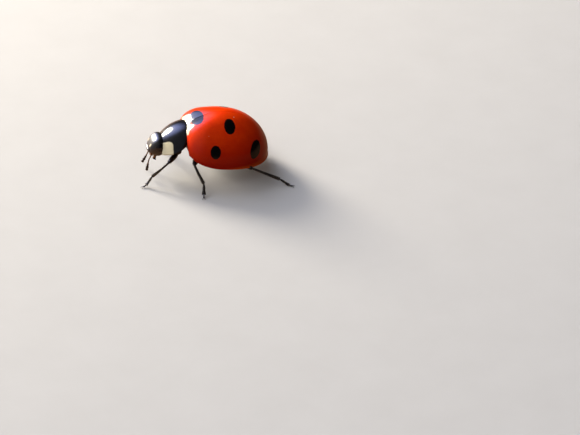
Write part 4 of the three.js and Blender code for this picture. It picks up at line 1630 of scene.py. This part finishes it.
lens = bpy.data.cameras.new("camera")
lens.sensor_width = SENSOR
lens.lens = SENSOR * CAMERA_DISTANCE / VIEW_WIDTH
lens.clip_start = NEAREST
lens.clip_end = FARTHEST
camera = bpy.data.objects.new("camera", lens)
bpy.context.collection.objects.link(camera)
stand = (CAMERA_AIM + CAMERA_DIRECTION.normalized() * CAMERA_DISTANCE) * MM
facing = (CAMERA_AIM * MM - stand).to_track_quat("-Z", "Y").to_matrix().to_4x4()
swing = Matrix.Rotation(math.radians(CAMERA_SWING), 4, "Y")
nod = Matrix.Rotation(math.radians(CAMERA_NOD), 4, "X")
camera.matrix_world = Matrix.Translation(stand) @ facing @ swing @ nod
bpy.context.scene.camera = camera
print("lens:", round(lens.lens, 1), "mm at", CAMERA_DISTANCE, "mm")

# %% [markdown]
# ### Light
#
# Soft light suits a glossy insect, because what shows on the shell is the shape of the lamp. One warm
# oval panel stands beyond the far shoulder and gives the bright window on the shield. A round bluish glow
# in the world, with no edge to it, hangs above the same side, so that the black parts get a soft sheen
# instead of a second hard window. The rest of the world is a dim room, brightest ahead of the insect and
# almost dark behind it.
#
# Is Glossy Ray lets the shell's reflections see this world at another strength than its matt layers do,
# and Is Camera Ray gives the camera a plain grey backdrop.

# %% Light
def add_panel(name, direction, distance, size, power, colour):
    """An oval light panel that faces the middle of the insect. Lengths in mm, width then height."""
    data = bpy.data.lights.new(name, "AREA")
    data.shape = "ELLIPSE"
    data.size, data.size_y = [side * MM for side in size]
    data.energy = power
    data.color = colour
    panel = bpy.data.objects.new(name, data)
    bpy.context.collection.objects.link(panel)
    place = Vector(direction).normalized() * distance * MM
    panel.matrix_world = Matrix.Translation(place) @ (-place).to_track_quat("-Z", "Y").to_matrix().to_4x4()


KEY_PANEL = {"direction": (0.49, -0.77, 0.37), "distance": 160, "size": (54, 72), "power": 0.5,
             "colour": (1.0, 0.92, 0.78)}
add_panel("key panel", **KEY_PANEL)

SKY_AXIS = (0.43, -0.66, 0.62)
SKY_WIDE = math.cos(math.radians(35))
SKY_FULL = math.cos(math.radians(6))
SKY_SHEEN = 5.4
SKY_FILL = 5.0
ROOM_AXIS = (0.93, 0.1, 0.36)
ROOM_BEHIND = 0.03
ROOM_AHEAD = 1.05
ROOM_SHEEN = 0.14
GLOW_EDGE = 0.05
SKY_COLOUR = (0.8, 0.85, 1.0, 1)
SKY_SHEEN_COLOUR = (0.4, 0.48, 1.0, 1)
ROOM_COLOUR = (0.95, 0.95, 1.0, 1)
BACKDROP = (0.56, 0.57, 0.58, 1)


def towards(tree, direction, axis, low, high, dim, bright):
    """A soft pool of light round an axis, from dim away from it to bright along it."""
    along = add_node(tree, "ShaderNodeVectorMath", {"operation": "DOT_PRODUCT"}, {0: direction, 1: axis})
    return ramp_node(tree, along.outputs["Value"], low, high, dim, bright)


world = bpy.data.worlds.new("studio")
bpy.context.scene.world = world
world.use_nodes = True
studio = world.node_tree
direction = studio.nodes.new("ShaderNodeTexCoord").outputs["Generated"]
glow = towards(studio, direction, SKY_AXIS, SKY_WIDE, SKY_FULL, 0.0, 1.0)
glow = math_node(studio, "MULTIPLY", glow, glow)
room = towards(studio, direction, ROOM_AXIS, 0.0, 1.0, ROOM_BEHIND, ROOM_AHEAD)
polished = studio.nodes.new("ShaderNodeLightPath").outputs["Is Glossy Ray"]
room = math_node(studio, "MULTIPLY", room, ramp_node(studio, polished, 0, 1, 1.0, ROOM_SHEEN))
sky = math_node(studio, "MULTIPLY", glow, ramp_node(studio, polished, 0, 1, SKY_FILL, SKY_SHEEN))
strength = math_node(studio, "ADD", sky, room)
sky_blue = mix_colour(studio, polished, SKY_COLOUR, SKY_SHEEN_COLOUR)
light_colour = mix_colour(studio, ramp_node(studio, glow, 0, GLOW_EDGE), ROOM_COLOUR, sky_blue)
background = studio.nodes["Background"]
seen = studio.nodes.new("ShaderNodeLightPath").outputs["Is Camera Ray"]
studio.links.new(mix_colour(studio, seen, light_colour, BACKDROP), background.inputs["Color"])
seen_strength = add_node(studio, "ShaderNodeMix", {}, {"Factor": seen, "A": strength, "B": 1.0})
studio.links.new(seen_strength.outputs["Result"], background.inputs["Strength"])
bpy.context.scene.view_settings.view_transform = "Standard"
print("lights:", len(bpy.data.lights))
